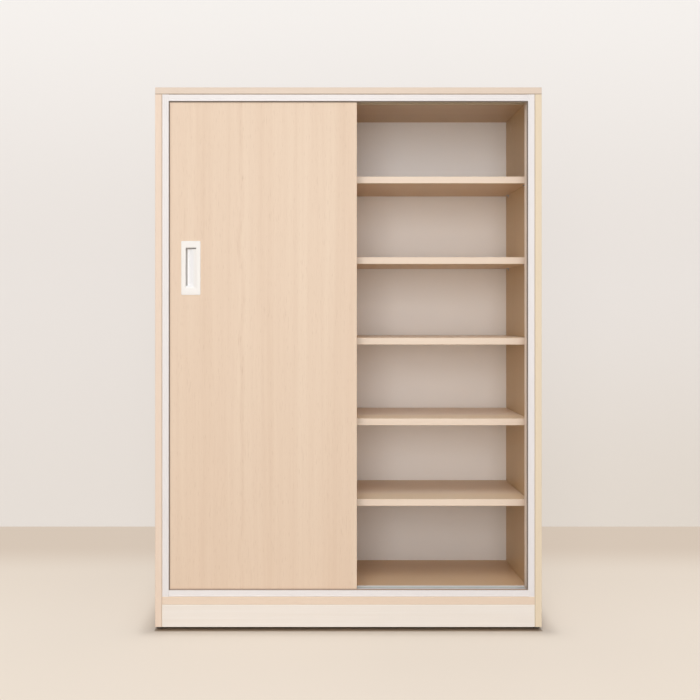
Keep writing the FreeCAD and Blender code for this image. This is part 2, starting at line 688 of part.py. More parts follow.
def top_guide():
    """Saddle about the origin in X and Y, with the door's top edge at z = 0."""
    outer = block(about(0, GUIDE_LENGTH), about(0, GLIDE_WIDTH), (-GUIDE_CHEEK, GUIDE_CROWN))
    outer = rounded(outer, GUIDE_RADIUS, in_plane(UP, GUIDE_CROWN))
    return outer.cut(block(about(0, GUIDE_LENGTH), about(0, DOOR_THICKNESS), (-GUIDE_CHEEK, 0)))


def door_boards(name, front):
    """Panel of a door and the edging round it, with the door's face at y = front."""
    depth = (front, front + DOOR_THICKNESS)
    left, right = DOOR_LEFT + EDGING_THICKNESS, DOOR_RIGHT - EDGING_THICKNESS
    low, high = DOOR_BOTTOM + EDGING_THICKNESS, DOOR_TOP - EDGING_THICKNESS
    add(f"{name}_panel", block((left, right), depth, (low, high)))
    for x, z, normal, outer in (
        ((DOOR_LEFT, left), (DOOR_BOTTOM, DOOR_TOP), RIGHTWARD, DOOR_LEFT),
        ((right, DOOR_RIGHT), (DOOR_BOTTOM, DOOR_TOP), RIGHTWARD, DOOR_RIGHT),
        ((left, right), (DOOR_BOTTOM, low), UP, DOOR_BOTTOM),
        ((left, right), (high, DOOR_TOP), UP, DOOR_TOP),
    ):
        strip = block(x, depth, z)
        add(f"{name}_edging", rounded_along(strip, EDGING_RADIUS, normal, outer, normal.cross(BACKWARD)))


def door_rollers(name, channel):
    """Two housings in the bottom edge of a door, each with its axle and its wheel."""
    boards = [f"{name}_panel", f"{name}_edging"]
    for end, x in (("left", DOOR_LEFT + WHEEL_FROM_EDGE), ("right", DOOR_RIGHT - WHEEL_FROM_EDGE)):
        seat = Vector(x, channel, DOOR_BOTTOM)
        centre = Vector(x, channel, WHEEL_LEVEL)
        housing = f"{name}_roller_housing_{end}"
        add(housing, roller_housing().translated(seat))
        add(f"{name}_wheel_{end}", door_wheel().translated(centre))
        axle_start = centre - BACKWARD * (HOUSING_WIDTH / 2)
        add(f"{name}_wheel_axles", rod(AXLE_RADIUS, axle_start, BACKWARD, HOUSING_WIDTH))
        cut(boards, housing_pocket().translated(seat))
        reach = PLATE_LENGTH - 2 * PLATE_SCREW_INSET
        points = [Vector(along, channel, DOOR_BOTTOM - PLATE_THICKNESS) for along in about(x, reach)]
        fasten(f"{name}_screws", HARDWARE_SCREW, boards + [housing], points, UP)


def door_guides(name, channel):
    """Two saddles on the top edge of a door, which run in the top track."""
    boards = [f"{name}_panel", f"{name}_edging", f"{name}_top_guides"]
    for x in inset_pair(DOOR_LEFT, DOOR_RIGHT, GUIDE_FROM_EDGE):
        add(f"{name}_top_guides", top_guide().translated(Vector(x, channel, DOOR_TOP)))
        reach = GUIDE_LENGTH - 2 * GUIDE_SCREW_INSET
        points = [Vector(along, channel, DOOR_TOP + GUIDE_CROWN) for along in about(x, reach)]
        fasten(f"{name}_screws", HARDWARE_SCREW, boards, points, DOWN)


def door(name, channel, closes_left):
    """A whole door at the left end of its travel, with its pull near the edge it closes with."""
    front = channel - DOOR_THICKNESS / 2
    door_boards(name, front)
    pull, pocket = flush_pull(), pull_pocket()
    pull_x = DOOR_LEFT + PULL_FROM_EDGE
    if not closes_left:
        pull = pull.mirror(Vector(0, 0, 0), RIGHTWARD)
        pull_x = DOOR_RIGHT - PULL_FROM_EDGE
    place = Vector(pull_x, front - RIM_THICKNESS, PULL_LEVEL)
    add(f"{name}_pull", pull.translated(place))
    cut([f"{name}_panel"], pocket.translated(place))
    door_rollers(name, channel)
    door_guides(name, channel)


def write_parts():
    """Cut the holes and write each node."""
    os.makedirs("parts", exist_ok=True)
    for node, shapes in solids.items():
        tools = cutters.get(node, [])
        finished = []
        for shape in shapes:
            near = [tool for tool in tools if tool.BoundBox.intersect(shape.BoundBox)]
            finished += (shape.cut(near) if near else shape).Solids
        Part.makeCompound(finished).exportStep(f"parts/{node}.step")


side_panels()
top_and_bottom_panels()
centre_divider()
back_panel()
plinths()
case_joints()
divider_joints()
shelves()
door_frame()
dust_seals()
frame_screws()
door_bumpers()
floor_feet()
door("front_door", FRONT_CHANNEL, True)
door("rear_door", REAR_CHANNEL, False)
write_parts()
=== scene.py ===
# Finishes the sliding door cabinet: oak-grained boards, white frame, flush pulls, rollers and fittings.
# Metres. +X is the viewer's right, +Y is the back and +Z is up.

import math

import bmesh
import bpy
from bpy.props import FloatProperty, FloatVectorProperty, IntProperty, PointerProperty
from mathutils import Matrix, Vector


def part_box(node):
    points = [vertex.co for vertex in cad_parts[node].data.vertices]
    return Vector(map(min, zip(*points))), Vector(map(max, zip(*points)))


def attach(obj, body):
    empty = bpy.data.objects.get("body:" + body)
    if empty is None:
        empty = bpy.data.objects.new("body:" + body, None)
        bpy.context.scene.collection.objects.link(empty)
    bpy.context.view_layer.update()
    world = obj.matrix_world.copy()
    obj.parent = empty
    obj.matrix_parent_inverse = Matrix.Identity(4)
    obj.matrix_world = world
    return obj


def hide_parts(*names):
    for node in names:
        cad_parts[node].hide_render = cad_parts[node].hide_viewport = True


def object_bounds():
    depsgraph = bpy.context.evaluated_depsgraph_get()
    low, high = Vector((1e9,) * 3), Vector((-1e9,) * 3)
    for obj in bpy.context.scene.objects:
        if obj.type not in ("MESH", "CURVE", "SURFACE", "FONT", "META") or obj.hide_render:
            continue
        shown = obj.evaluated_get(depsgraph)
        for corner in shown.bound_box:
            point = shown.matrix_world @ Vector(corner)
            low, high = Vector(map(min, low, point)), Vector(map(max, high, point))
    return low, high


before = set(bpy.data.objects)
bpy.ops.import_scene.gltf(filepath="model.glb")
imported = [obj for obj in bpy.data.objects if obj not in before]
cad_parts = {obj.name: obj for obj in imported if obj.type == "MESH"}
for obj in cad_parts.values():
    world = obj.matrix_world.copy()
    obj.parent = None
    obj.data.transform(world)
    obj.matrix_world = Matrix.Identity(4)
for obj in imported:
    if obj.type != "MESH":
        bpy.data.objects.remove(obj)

bl_info = {
    "name": "Sliding Door Cabinet",
    "version": (1, 0, 0),
    "blender": (4, 5, 0),
    "location": "View3D > Sidebar > Cabinet",
    "description": "Finishes a cabinet with two sliding doors, and sets it on a plain stage",
    "category": "Object",
}

CAD_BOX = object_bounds()

X, Y, Z = range(3)
RIGHTWARD = Vector((1, 0, 0))
LEFTWARD = Vector((-1, 0, 0))
BACKWARD = Vector((0, 1, 0))
UP = Vector((0, 0, 1))
DOWN = Vector((0, 0, -1))
FULL_TURN = 2 * math.pi
QUARTER_TURN = math.pi / 2

# Two points closer than this are the same, and two within this height of each other are level
SAME_POINT = 1e-6
SAME_LEVEL = 10 * SAME_POINT

# How soft the edge of a change of tone is
SLAB_EDGE = 0.0002

# Thickness of the boards' edge bands
BAND = 0.001

# Radii of a screw's head and shank
FRAME_SCREW = (0.0036, 0.00175)
DOOR_SCREW = (0.0029, 0.0015)

# Beyond the object on any side
FAR = 9.0

# Edges sharper than this stay sharp
SMOOTH_ANGLE = math.radians(32)

# The attribute that holds the turn of each copy
TURN = "turn"

DOORS = ("front_door", "rear_door")
SIDES = ("left", "right")

# The camera's place, which is level, and its lens
CAMERA_PLACE = (-0.091, -2.788, 0.825)
LENS_SHIFT = (0.0525, -0.0543)
SENSOR_WIDTH = 36.0


def span(node):
    """Size of a CAD node."""
    low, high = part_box(node)
    return high - low


def srgb(red, green, blue):
    """Linear colour from display values between 0 and 255."""
    def linear(value):
        share = value / 255
        return share / 12.92 if share <= 0.04045 else ((share + 0.055) / 1.055) ** 2.4
    return linear(red), linear(green), linear(blue)


def dimmed(tone, *shares):
    """A colour times one share, or times one for each of its parts."""
    each = shares if len(shares) > 1 else shares * len(tone)
    return [part * share for part, share in zip(tone, each)]


def colour(name, description, default):
    """A colour that a user can change."""
    return FloatVectorProperty(
        name=name, description=description, default=default, subtype="COLOR", size=3, min=0, max=1,
    )


def length(name, description, default):
    """A length that a user can change."""
    return FloatProperty(
        name=name, description=description, default=default, min=0, subtype="DISTANCE", unit="LENGTH",
        precision=4,
    )


class CabinetColours(bpy.types.PropertyGroup):
    """Colours of the boards, the frame and the fittings"""
    oak_light: colour("Oak, light", "Light tone of the oak grain", srgb(239, 217, 194))
    oak_deep: colour("Oak, deep", "Deep tone of the oak grain", srgb(227, 200, 175))
    oak_pore: colour("Oak pores", "Dark ticks in the grain", srgb(190, 155, 124))
    oak_fleck: colour("Oak flecks", "Pale ticks in the grain", srgb(240, 224, 206))
    oak_band: colour("Shelves", "Paler laminate of the shelves", srgb(251, 235, 219))
    left_wash: colour("Left wash", "Wash over the left side panel", srgb(252, 234, 222))
    right_wash: colour("Right wash", "Wash over the right side panel", srgb(246, 240, 208))
    top_wash: colour("Top wash", "Wash over the top panel", srgb(224, 214, 206))
    warm_edge: colour("Warm edges", "Warmer print beside the doors' edges", srgb(236, 196, 164))
    # A dark glue line with painted shade along the joints of the front edges
    seam: colour("Seams", "Dark line along the joints of the front edges", srgb(140, 120, 98))
    # Painted shade: laminate faces inside the case are darkened, as if in the case's shade
    inner_painted_shade: colour("Inner tint", "Tint of the laminate inside the case", srgb(228, 212, 188))
    # Painted shade at the back of the lowest shelves' upper faces
    far_painted_shade: colour("Far tint", "Tint of the lowest shelves' upper faces at the back", srgb(237, 230, 219))
    # Painted light in front on the shelves' upper faces
    shelf_painted_light: colour("Near tone, shelves", "Shelves' upper faces in front", srgb(255, 234, 204))
    # Painted light in front on the bottom panel's upper face
    bottom_painted_light: colour("Near tone, bottom", "Bottom panel's upper face in front", srgb(255, 224, 185))
    pale_light: colour("Plinth, light", "Light tone of the plinth", srgb(248, 242, 235))
    pale_deep: colour("Plinth, deep", "Deep tone of the plinth", srgb(241, 232, 222))
    # Painted highlight along the plinth's edges
    plinth_edge_highlight: colour("Plinth, edges", "Lighter lines along the plinth's edges", srgb(255, 251, 243))
    chipboard: colour("Chipboard", "Bare core at the rear edges", srgb(190, 158, 120))
    crumb: colour("Chipboard, crumbs", "Darker crumbs in the bare core", srgb(150, 116, 80))
    back_white: colour("Back, coated", "Coated face of the back panel", srgb(250, 245, 240))
    # Painted shade on the coated back under the lowest shelf
    back_painted_shade: colour("Back, low", "Tint of the coated back under the lowest shelf", srgb(239, 239, 239))
    # Painted light on the coated back over the highest shelf
    back_painted_light: colour("Back, high", "Tone of the coated back over the highest shelf", srgb(255, 253, 252))
    back_brown: colour("Back, bare", "Bare rear face of the back panel", srgb(158, 122, 88))
    frame_white: colour("Frame", "Powder coat of the door frame", srgb(242, 238, 238))
    pull_white: colour("Pulls", "Moulded white of the pulls", srgb(246, 243, 239))
    # Painted light: the recess is whiter than the rim
    pull_recess_light: colour("Pull recesses", "White of the recess behind a pull's mouth", srgb(253, 253, 255))
    # Painted shade in the pulls' grooves, which are also matt
    pull_groove_shade: colour("Pull grooves", "Matt plastic in the grooves of the pulls", srgb(196, 192, 188))
    cap: colour("Caps", "Moulded cam covers in the tone of the boards", srgb(222, 194, 162))
    # Painted shade in the jambs' channels
    jamb_channel_shade: colour("Jamb channels", "Thinner coat in the jambs' channels", srgb(240, 222, 206))
    # Painted shade in the top track's channels
    top_channel_shade: colour("Top channels", "Thinner coat in the top track's channels", srgb(198, 180, 152))
    # Painted shade in the bottom track's channels
    bottom_channel_shade: colour("Bottom channels", "Worn coat the wheels run over", srgb(208, 212, 206))
    nylon: colour("Nylon", "Wheels, housings and guides", srgb(222, 219, 210))
    steel: colour("Steel", "Zinc-plated fittings", srgb(196, 196, 199))
    rubber: colour("Rubber", "Door bumpers", srgb(150, 150, 152))
    seal: colour("Seals", "Dust seals behind the frame", srgb(128, 116, 106))
    # Painted light: the bottom seal is the same felt as the others, made paler as if lit
    bottom_seal_light: colour("Bottom seal", "Dust seal over the bottom track", srgb(172, 152, 136))
    foot: colour("Feet", "Moulded feet", srgb(52, 48, 46))
    beech: colour("Beech", "Dowels", srgb(208, 170, 128))


class CabinetSizes(bpy.types.PropertyGroup):
    """Sizes of the details that finish the cabinet"""
    leg_thickness: length("Leg thickness", "Thickness of the frame's web and legs", 0.002)
    leg_tip_radius: length("Leg tip radius", "Rounding of the frame's legs", 0.0007)
    leg_root_radius: length("Leg root radius", "Fillet between the frame's web and legs", 0.0008)
    frame_corner_radius: length("Corner radius", "Rounding of the frame's front corner", 0.0012)
    groove_depth: length("Groove depth", "Depth of the fine grooves in the frame's face", 0.0003)
    groove_width: length("Groove width", "Width of the fine grooves in the frame's face", 0.001)
    pull_rim_thickness: length("Rim thickness", "How far the rim of a pull stands proud", 0.0015)
    pull_rim_radius: length("Rim radius", "Rounding of the rim's outer edge", 0.0011)
    pull_corner_radius: length("Corner radius", "Radius of the rim's corners", 0.003)
    mouth_width: length("Mouth width", "Width of the finger recess at its mouth", 0.027)
    mouth_height: length("Mouth height", "Height of the finger recess", 0.105)
    mouth_radius: length("Mouth radius", "Rounding of the edge of the mouth", 0.0006)
    lip_thickness: length("Lip thickness", "Thickness of the lip that the fingers hook", 0.0035)
    lip_reach: length("Lip reach", "How far the recess goes behind the lip", 0.0025)
    recess_depth: length("Recess depth", "Depth of the recess under the rim's face", 0.0085)
    ramp_run: length("Ramp run", "Length of the rise at the side away from the lip", 0.021)
    ramp_low_run: length("Low ramp run", "Length of the rise at the recess's lower end", 0.012)
    grip_width: length("Grip groove width", "Width of the groove behind the lip", 0.0043)
    grip_top_width: length("Top groove width", "Width of the groove at the recess's upper end", 0.0036)
    grip_depth: length("Grip groove depth", "Depth of the grooves under the rim's face", 0.011)
    cup_width: length("Cup width", "Width of the cup behind the rim", 0.04)
    cup_height: length("Cup height", "Height of the cup behind the rim", 0.124)
    thread_pitch: length("Thread pitch", "Pitch of the screws' threads", 0.0016)
    bumper_ribs: IntProperty(name="Bumper ribs", description="Ribs across a door bumper", default=6, min=2)
    dowel_flutes: IntProperty(name="Dowel flutes", description="Flutes round a dowel", default=16, min=6)


class CabinetStage(bpy.types.PropertyGroup):
    """Floor, wall, lamps and camera"""
    floor: colour("Floor", "Colour of the floor", srgb(232, 220, 206))
    wall: colour("Wall", "Colour of the wall and the surroundings", srgb(239, 233, 228))
    # Painted shade low on the wall, deepest to the right where it stands for the cabinet's shadow
    wall_painted_shade: colour("Wall foot", "Colour of the wall near the floor", srgb(228, 218, 206))
    # Painted light high on the wall
    wall_painted_light: colour("Wall, high", "Colour of the wall high over the floor", srgb(255, 252, 249))
    wall_place: length("Wall place", "How far the wall stands behind the cabinet's middle", 1.06)
    key_power: FloatProperty(
        name="Key", description="Power of the soft lamp in front", default=146, min=0, unit="POWER")
    top_power: FloatProperty(
        name="Top", description="Power of the broad lamp overhead", default=310, min=0, unit="POWER")
    fill: FloatProperty(
        name="Fill", description="Strength of the light from all round", default=0.41, min=0)
    focal_length: FloatProperty(
        name="Focal length", description="The camera's lens", default=51.47, min=1, unit="CAMERA")


def colours():
    """The colours that a user can change."""
    return bpy.context.scene.cabinet_colours


def sizes():
    """The sizes that a user can change."""
    return bpy.context.scene.cabinet_sizes


def stage():
    """The values of the stage that a user can change."""
    return bpy.context.scene.cabinet_stage


# Node trees, written as expressions


class Wire:
    """One socket of a node tree. Arithmetic on it adds Math nodes."""

    def __init__(self, graph, socket):
        self.graph = graph
        self.socket = socket

    def __add__(self, other):
        return self.graph.math("ADD", self, other)

    __radd__ = __add__

    def __sub__(self, other):
        return self.graph.math("SUBTRACT", self, other)

    def __rsub__(self, other):
        return self.graph.math("SUBTRACT", other, self)

    def __mul__(self, other):
        return self.graph.math("MULTIPLY", self, other)

    __rmul__ = __mul__

    def __abs__(self):
        return self.graph.math("ABSOLUTE", self)

    def kept(self):
        """The value, kept between 0 and 1."""
        return self.graph.node("ShaderNodeClamp", {}, {"Value": self})

    def step(self, low, high):
        """0 below low and 1 above high, with a smooth rise between them."""
        return self.graph.node(
            "ShaderNodeMapRange",
            {"interpolation_type": "SMOOTHSTEP"},
            {"Value": self, "From Min": low, "From Max": high},
        )

    def part(self, axis):
        """One component of a vector."""
        return self.graph.node("ShaderNodeSeparateXYZ", {}, {"Vector": self}, axis)


class Graph:
    """A node tree that grows as expressions are written."""

    def __init__(self, tree):
        self.tree = tree

    def node(self, kind, settings, sockets, result=0):
        """Add a node: its settings first, then the values or links of its sockets."""
        made = self.tree.nodes.new(kind)
        for name, value in settings.items():
            setattr(made, name, value)
        for name, value in sockets.items():
            self.feed(made.inputs[name], value)
        return Wire(self, made.outputs[result]) if len(made.outputs) else made

    def feed(self, socket, value):
        """Link a wire, or several, to a socket, or set its value."""
        if isinstance(value, Wire):
            self.tree.links.new(value.socket, socket)
        elif socket.is_multi_input:
            for wire in value:
                self.tree.links.new(wire.socket, socket)
        else:
            socket.default_value = value

    def math(self, operation, first, second=0.0):
        return self.node("ShaderNodeMath", {"operation": operation}, {0: first, 1: second})

    def vector(self, operation, first, second, result=0):
        return self.node("ShaderNodeVectorMath", {"operation": operation}, {0: first, 1: second}, result)


class Finish(Graph):
    """A material whose patterns are laid out in the object's own coordinates."""

    # The sockets of a Mix node for colours
    MIX_FACTOR, MIX_FIRST, MIX_SECOND, MIX_RESULT = 0, 6, 7, 2

    def __init__(self, name):
        self.material = bpy.data.materials.new(name)
        self.material.use_nodes = True
        self.material.node_tree.nodes.clear()
        super().__init__(self.material.node_tree)
        self.place = self.node("ShaderNodeTexCoord", {}, {}, "Object")

    def shade(self, value):
        """A colour socket's value, from three numbers."""
        return value if isinstance(value, Wire) else (*value, 1.0)

    def mix(self, factor, first, second, blend="MIX"):
        """Blend of two colours."""
        return self.node(
            "ShaderNodeMix",
            {"data_type": "RGBA", "blend_type": blend},
            {
                self.MIX_FACTOR: factor,
                self.MIX_FIRST: self.shade(first),
                self.MIX_SECOND: self.shade(second),
            },
            self.MIX_RESULT,
        )

    def noise(self, place, size, detail=2.0, rough=0.5):
        """Noise with patches of a size, which is one length or one along each axis."""
        each = size if isinstance(size, (tuple, list)) else (size, size, size)
        scaled = self.node("ShaderNodeMapping", {}, {
            "Vector": place, "Scale": [1 / part for part in each],
        })
        return self.node("ShaderNodeTexNoise", {}, {
            "Vector": scaled, "Scale": 1.0, "Detail": detail, "Roughness": rough,
        })

    def within(self, slabs):
        """1 in every one of some slabs (axis, from, to), and 0 outside."""
        share = 1.0
        for axis, start, end in slabs:
            place = self.place.part(axis)
            share = share * place.step(start - SLAB_EDGE, start) * (1 - place.step(end, end + SLAB_EDGE))
        return share

    def beside(self, axis, plane, start, end):
        """1 up to one distance from a plane, and 0 beyond another."""
        return 1 - abs(self.place.part(axis) - plane).step(start, end)

    def cells(self, size):
        """A random colour for each cell of a pattern of crumbs."""
        return self.node("ShaderNodeTexVoronoi", {}, {"Vector": self.place, "Scale": 1 / size}, "Color")

    def bump(self, height, distance):
        """Normal of a surface that rises by a distance where height is 1."""
        return self.node("ShaderNodeBump", {}, {"Height": height, "Distance": distance, "Strength": 1.0})

    def surface(self, sockets):
        """End the material in a Principled shader."""
        shader = self.node("ShaderNodeBsdfPrincipled", {}, sockets)
        self.node("ShaderNodeOutputMaterial", {}, {"Surface": shader})
        return self.material


# Finishes


def grain_size(along, width, run):
    """Size of a grain pattern: width across the grain, and run along it."""
    size = [width] * 3
    size[along] = run
    return size


def wavy(finish, place, along):
    """A place that strays a little across the grain, so that the grain isn't dead straight."""
    sway = finish.noise(place, grain_size(along, width=0.3, run=0.9), detail=1.0) - 0.5
    return finish.node("ShaderNodeVectorMath", {"operation": "MULTIPLY_ADD"}, {
        0: finish.node("ShaderNodeCombineXYZ", {}, {0: sway, 1: sway, 2: sway}),
        1: grain_size(along, width=0.012, run=0.0),
        2: place,
    })


def upper_face_light_and_shade(finish, paint, bands, face, far, near):
    """The paint, with painted shade on the upper face at the back and painted light on it in front.

    far and near are each a colour and the depths (from, to) between which it grows or fades.
    """
    depth = finish.place.part(Y)
    on_top = finish.place.part(Z).step(face, face + SLAB_EDGE)
    if far:
        tint, depths = far
        paint = finish.mix(on_top * depth.step(*depths), paint, tint, "MULTIPLY")
    tone, depths = near
    share = (1 - depth.step(*depths)) * (0.65 + bands * 0.5)
    return finish.mix((on_top * share).kept(), paint, tone)


def banded_edge(finish, paint, band, seams):
    """The paint, with the fine joint where the edge band ends, and the seams on the band, which are dark
    glue lines with painted shade.
    """
    axis, edge = band
    joint = finish.beside(axis, edge, 0.00006, 0.0002)
    paint = finish.mix(joint * 0.4, paint, colours().oak_pore)
    ahead = 1 - finish.place.part(axis).step(edge, edge + SLAB_EDGE)
    # Glue lines with painted shade along the joints
    for axis, edge, share in seams:
        near = finish.beside(axis, edge, 0.001, 0.0022)
        paint = finish.mix(near * ahead * share, paint, colours().seam)
    return paint


def oak(name, along, shift, raw=(), band=None, soft_edges=(), inside=(), veins=(), wash=None,
        seams=(), upper=None):
    """Light oak laminate with its grain along an axis.

    raw: planes (axis, place) of the unbanded edges
    band: plane where the edge band ends
    soft_edges: planes beside which the print is a little warmer
    inside: slabs (axis, from, to) that together hold the faces inside the case, which get painted shade
    veins: planes that darker lines of the grain wander about
    wash: a colour, its share, and the slabs that it keeps to
    seams: planes (axis, place, share) beside which the edge band has a dark glue line and painted shade,
    along a joint
    upper: the upper face's height, its painted shade at the back and its painted light in front
    """
    tone = colours()
    finish = Finish(name)
    place = wavy(finish, finish.vector("ADD", finish.place, shift), along)
    bands = finish.noise(place, grain_size(along, width=0.05, run=2.5), detail=1.0)
    streaks = finish.noise(place, grain_size(along, width=0.011, run=0.7), detail=3.0)
    fibres = finish.noise(place, grain_size(along, width=0.0016, run=0.09), detail=2.0)
    ticks = finish.noise(place, grain_size(along, width=0.0014, run=0.021), detail=0.0)
    flecks = finish.noise(place, grain_size(along, width=0.0017, run=0.03), detail=1.0)
    band_share, streak_share, fibre_share, vein_share = 0.95, 0.75, 0.35, 0.32
    pore_share, vein_pore_share, fleck_share = 0.16, 0.3, 0.18
    depth = 0.5 + (bands - 0.5) * band_share + (streaks - 0.5) * streak_share
    depth = depth + (fibres - 0.5) * fibre_share
    pores = ticks.step(0.66, 0.78) * pore_share
    for axis, middle in veins:
        wander = (finish.noise(place, grain_size(along, width=9.0, run=0.16), detail=1.0) - 0.5) * 0.03
        near = 1 - abs(finish.place.part(axis) - middle + wander).step(0.001, 0.01)
        depth = depth + near * vein_share
        pores = pores + near * fibres.step(0.5, 0.7) * ticks.step(0.5, 0.62) * vein_pore_share
    paint = finish.mix(depth.kept(), tone.oak_light, tone.oak_deep)
    paint = finish.mix(pores, paint, tone.oak_pore)
    paint = finish.mix(flecks.step(0.68, 0.8) * fleck_share, paint, tone.oak_fleck)
    if wash:
        shade, share, slabs = wash
        paint = finish.mix(finish.within(slabs) * share, paint, shade)
    # Painted shade on the faces inside the case
    if inside:
        paint = finish.mix(finish.within(inside), paint, tone.inner_painted_shade, "MULTIPLY")
    # Painted shade at the back of an upper face, and painted light in front
    if upper:
        paint = upper_face_light_and_shade(finish, paint, bands, *upper)
    for axis, edge in soft_edges:
        paint = finish.mix(finish.beside(axis, edge, 0.005, 0.019) * 0.45, paint, tone.warm_edge)
    if band:
        paint = banded_edge(finish, paint, band, seams)
    height = fibres * 0.3 - pores
    rough = 0.46 + pores * 0.15 + (fibres - 0.5) * 0.1
    for axis, edge in raw:
        bare = finish.beside(axis, edge, 0.00005, 0.00015)
        crumbs = finish.mix(finish.cells(0.0021).part(X) * 0.9, tone.chipboard, tone.crumb)
        paint = finish.mix(bare, paint, crumbs)
        rough = rough + bare * 0.35
    return finish.surface({
        "Base Color": paint,
        "Roughness": rough,
        "Normal": finish.bump(height, 0.00004),
        "Specular IOR Level": 0.5,
    })


def pale_board(name, shift, box):
    """Paler laminate of the plinths, with painted highlights as lighter lines along their edges."""
    tone = colours()
    finish = Finish(name)
    place = finish.vector("ADD", finish.place, shift)
    streaks = finish.noise(place, grain_size(X, width=0.012, run=0.8), detail=3.0)
    fibres = finish.noise(place, grain_size(X, width=0.0015, run=0.08), detail=2.0)
    depth = 0.5 + (streaks - 0.5) * 1.2 + (fibres - 0.5) * 0.5
    paint = finish.mix(depth.kept(), tone.pale_light, tone.pale_deep)
    # Painted highlights along the plinth's edges
    for axis in (X, Z):
        for corner in box:
            paint = finish.mix(finish.beside(axis, corner[axis], 0.0012, 0.0026), paint, tone.plinth_edge_highlight)
    return finish.surface({
        "Base Color": paint,
        "Roughness": 0.44 + (fibres - 0.5) * 0.08,
        "Normal": finish.bump(fibres, 0.00003),
        "Specular IOR Level": 0.4,
    })


def coated_hardboard(name, front_face, lowest, highest):
    """Hardboard that is bare behind, and white in front.

    lowest and highest are the heights that the lowest and the highest shelf take up. Behind them the coat
    has painted shade below and painted light above.
    """
    tone = colours()
    finish = Finish(name)
    clouds = finish.noise(finish.place, 0.18)
    fibres = finish.noise(finish.place, (0.0035, 0.0035, 0.0022), detail=3.0, rough=0.65)
    coat = finish.mix((clouds * 0.5).kept(), tone.back_white, dimmed(tone.back_white, 0.95))
    # Painted shade low on the back, and painted light high on it
    coat = finish.mix(1 - finish.place.part(Z).step(*lowest), coat, tone.back_painted_shade, "MULTIPLY")
    coat = finish.mix(finish.place.part(Z).step(*highest), coat, tone.back_painted_light)
    bare = finish.mix(fibres.step(0.3, 0.7), tone.back_brown, dimmed(tone.back_brown, 0.72))
    behind = (finish.place.part(Y) - front_face).step(0.0002, 0.0005)
    return finish.surface({
        "Base Color": finish.mix(behind, coat, bare),
        "Roughness": 0.5 + behind * 0.25 + (fibres - 0.5) * 0.1,
        "Normal": finish.bump(fibres, 0.00003),
    })


def powder_coat(node, inside, inward):
    """White powder coat of a bar, with the faint peel of a baked film and painted shade in its channels."""
    finish = Finish(f"white_coat_{node}")
    peel = finish.noise(finish.place, 0.0016, detail=1.0)
    clouds = finish.noise(finish.place, 0.12)
    white = colours().frame_white
    low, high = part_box(node)
    leg = sizes().leg_thickness
    behind = finish.place.part(Y).step(low.y + 0.8 * leg, low.y + 1.2 * leg)
    # The tips of the bottom track's legs stay white, left out of the painted shade as if lit
    if inward == UP:
        behind = behind * (1 - finish.place.part(Z).step(high.z - 1.5 * leg, high.z - 0.9 * leg))
    coat = finish.mix((clouds * 0.4).kept(), white, dimmed(white, 0.96))
    # Painted shade in the channels behind the front leg
    return finish.surface({
        "Base Color": finish.mix(behind, coat, inside),
        "Roughness": 0.36 + (peel - 0.5) * 0.15,
        "Normal": finish.bump(peel, 0.00003),
        "Specular IOR Level": 0.5,
    })


def moulded(name, paint, rough, texture=0.0007, relief=0.00002):
    """Moulded plastic with a fine spark texture."""
    finish = Finish(name)
    grains = finish.noise(finish.place, texture)
    clouds = finish.noise(finish.place, 0.03)
    return finish.surface({
        "Base Color": finish.mix((clouds * 0.5).kept(), paint, dimmed(paint, 0.95)),
        "Roughness": rough + (grains - 0.5) * 0.16,
        "Normal": finish.bump(grains, relief),
    })


def zinc_steel():
    """Zinc-plated steel, with fine brushing and dull clouds."""
    finish = Finish("zinc_plated_steel")
    brushing = finish.noise(finish.place, (0.0002, 0.0002, 0.004))
    clouds = finish.noise(finish.place, 0.004, detail=3.0)
    steel = colours().steel
    return finish.surface({
        "Base Color": finish.mix(clouds.step(0.35, 0.7), steel, dimmed(steel, 0.72)),
        "Metallic": 1.0,
        "Roughness": 0.3 + clouds * 0.2 + (brushing - 0.5) * 0.15,
        "Normal": finish.bump(brushing, 0.00001),
    })


def beech():
    """Plain beech, with short brown rays."""
    finish = Finish("beech")
    rays = finish.noise(finish.place, (0.0006, 0.0006, 0.0025))
    tone = colours().beech
    return finish.surface({
        "Base Color": finish.mix(rays.step(0.45, 0.75), tone, dimmed(tone, 0.62)),
        "Roughness": 0.6 + (rays - 0.5) * 0.2,
        "Normal": finish.bump(rays, 0.00004),
    })


def clad(node, material):
    """Give a CAD node its finish."""
    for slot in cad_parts[node].material_slots:
        slot.material = material


# Meshes


def skinned(name, rings, closed=False):
    """Mesh through rings of points. A ring of one point is a pole, and an open end is filled."""
    shape = bmesh.new()
    rows = [[shape.verts.new(point) for point in ring] for ring in rings]
    pairs = list(zip(rows, rows[1:]))
    if closed:
        pairs.append((rows[-1], rows[0]))
    for row, following in pairs:
        for step in range(max(len(row), len(following))):
            after = step + 1
            corners = [
                row[step % len(row)], row[after % len(row)],
                following[after % len(following)], following[step % len(following)],
            ]
            shape.faces.new(list(dict.fromkeys(corners)))
    if not closed:
        for end in (rows[0], rows[-1]):
            if len(end) > 2:
                shape.faces.new(end)
    bmesh.ops.remove_doubles(shape, verts=shape.verts, dist=SAME_POINT)
    bmesh.ops.recalc_face_normals(shape, faces=shape.faces)
    mesh = bpy.data.meshes.new(name)
    shape.to_mesh(mesh)
    shape.free()
    return mesh


def turned(name, stations, segments, closed=False):
    """Shape turned about Z through (height, radius) stations. A radius may depend on the angle."""
    rings = []
    for height, radius in stations:
        if radius == 0:
            rings.append([Vector((0, 0, height))])
            continue
        ring = []
        for step in range(segments):
            angle = FULL_TURN * step / segments
            reach = radius(angle) if callable(radius) else radius
            ring.append(Vector((reach * math.cos(angle), reach * math.sin(angle), height)))
        rings.append(ring)
    return skinned(name, rings, closed)


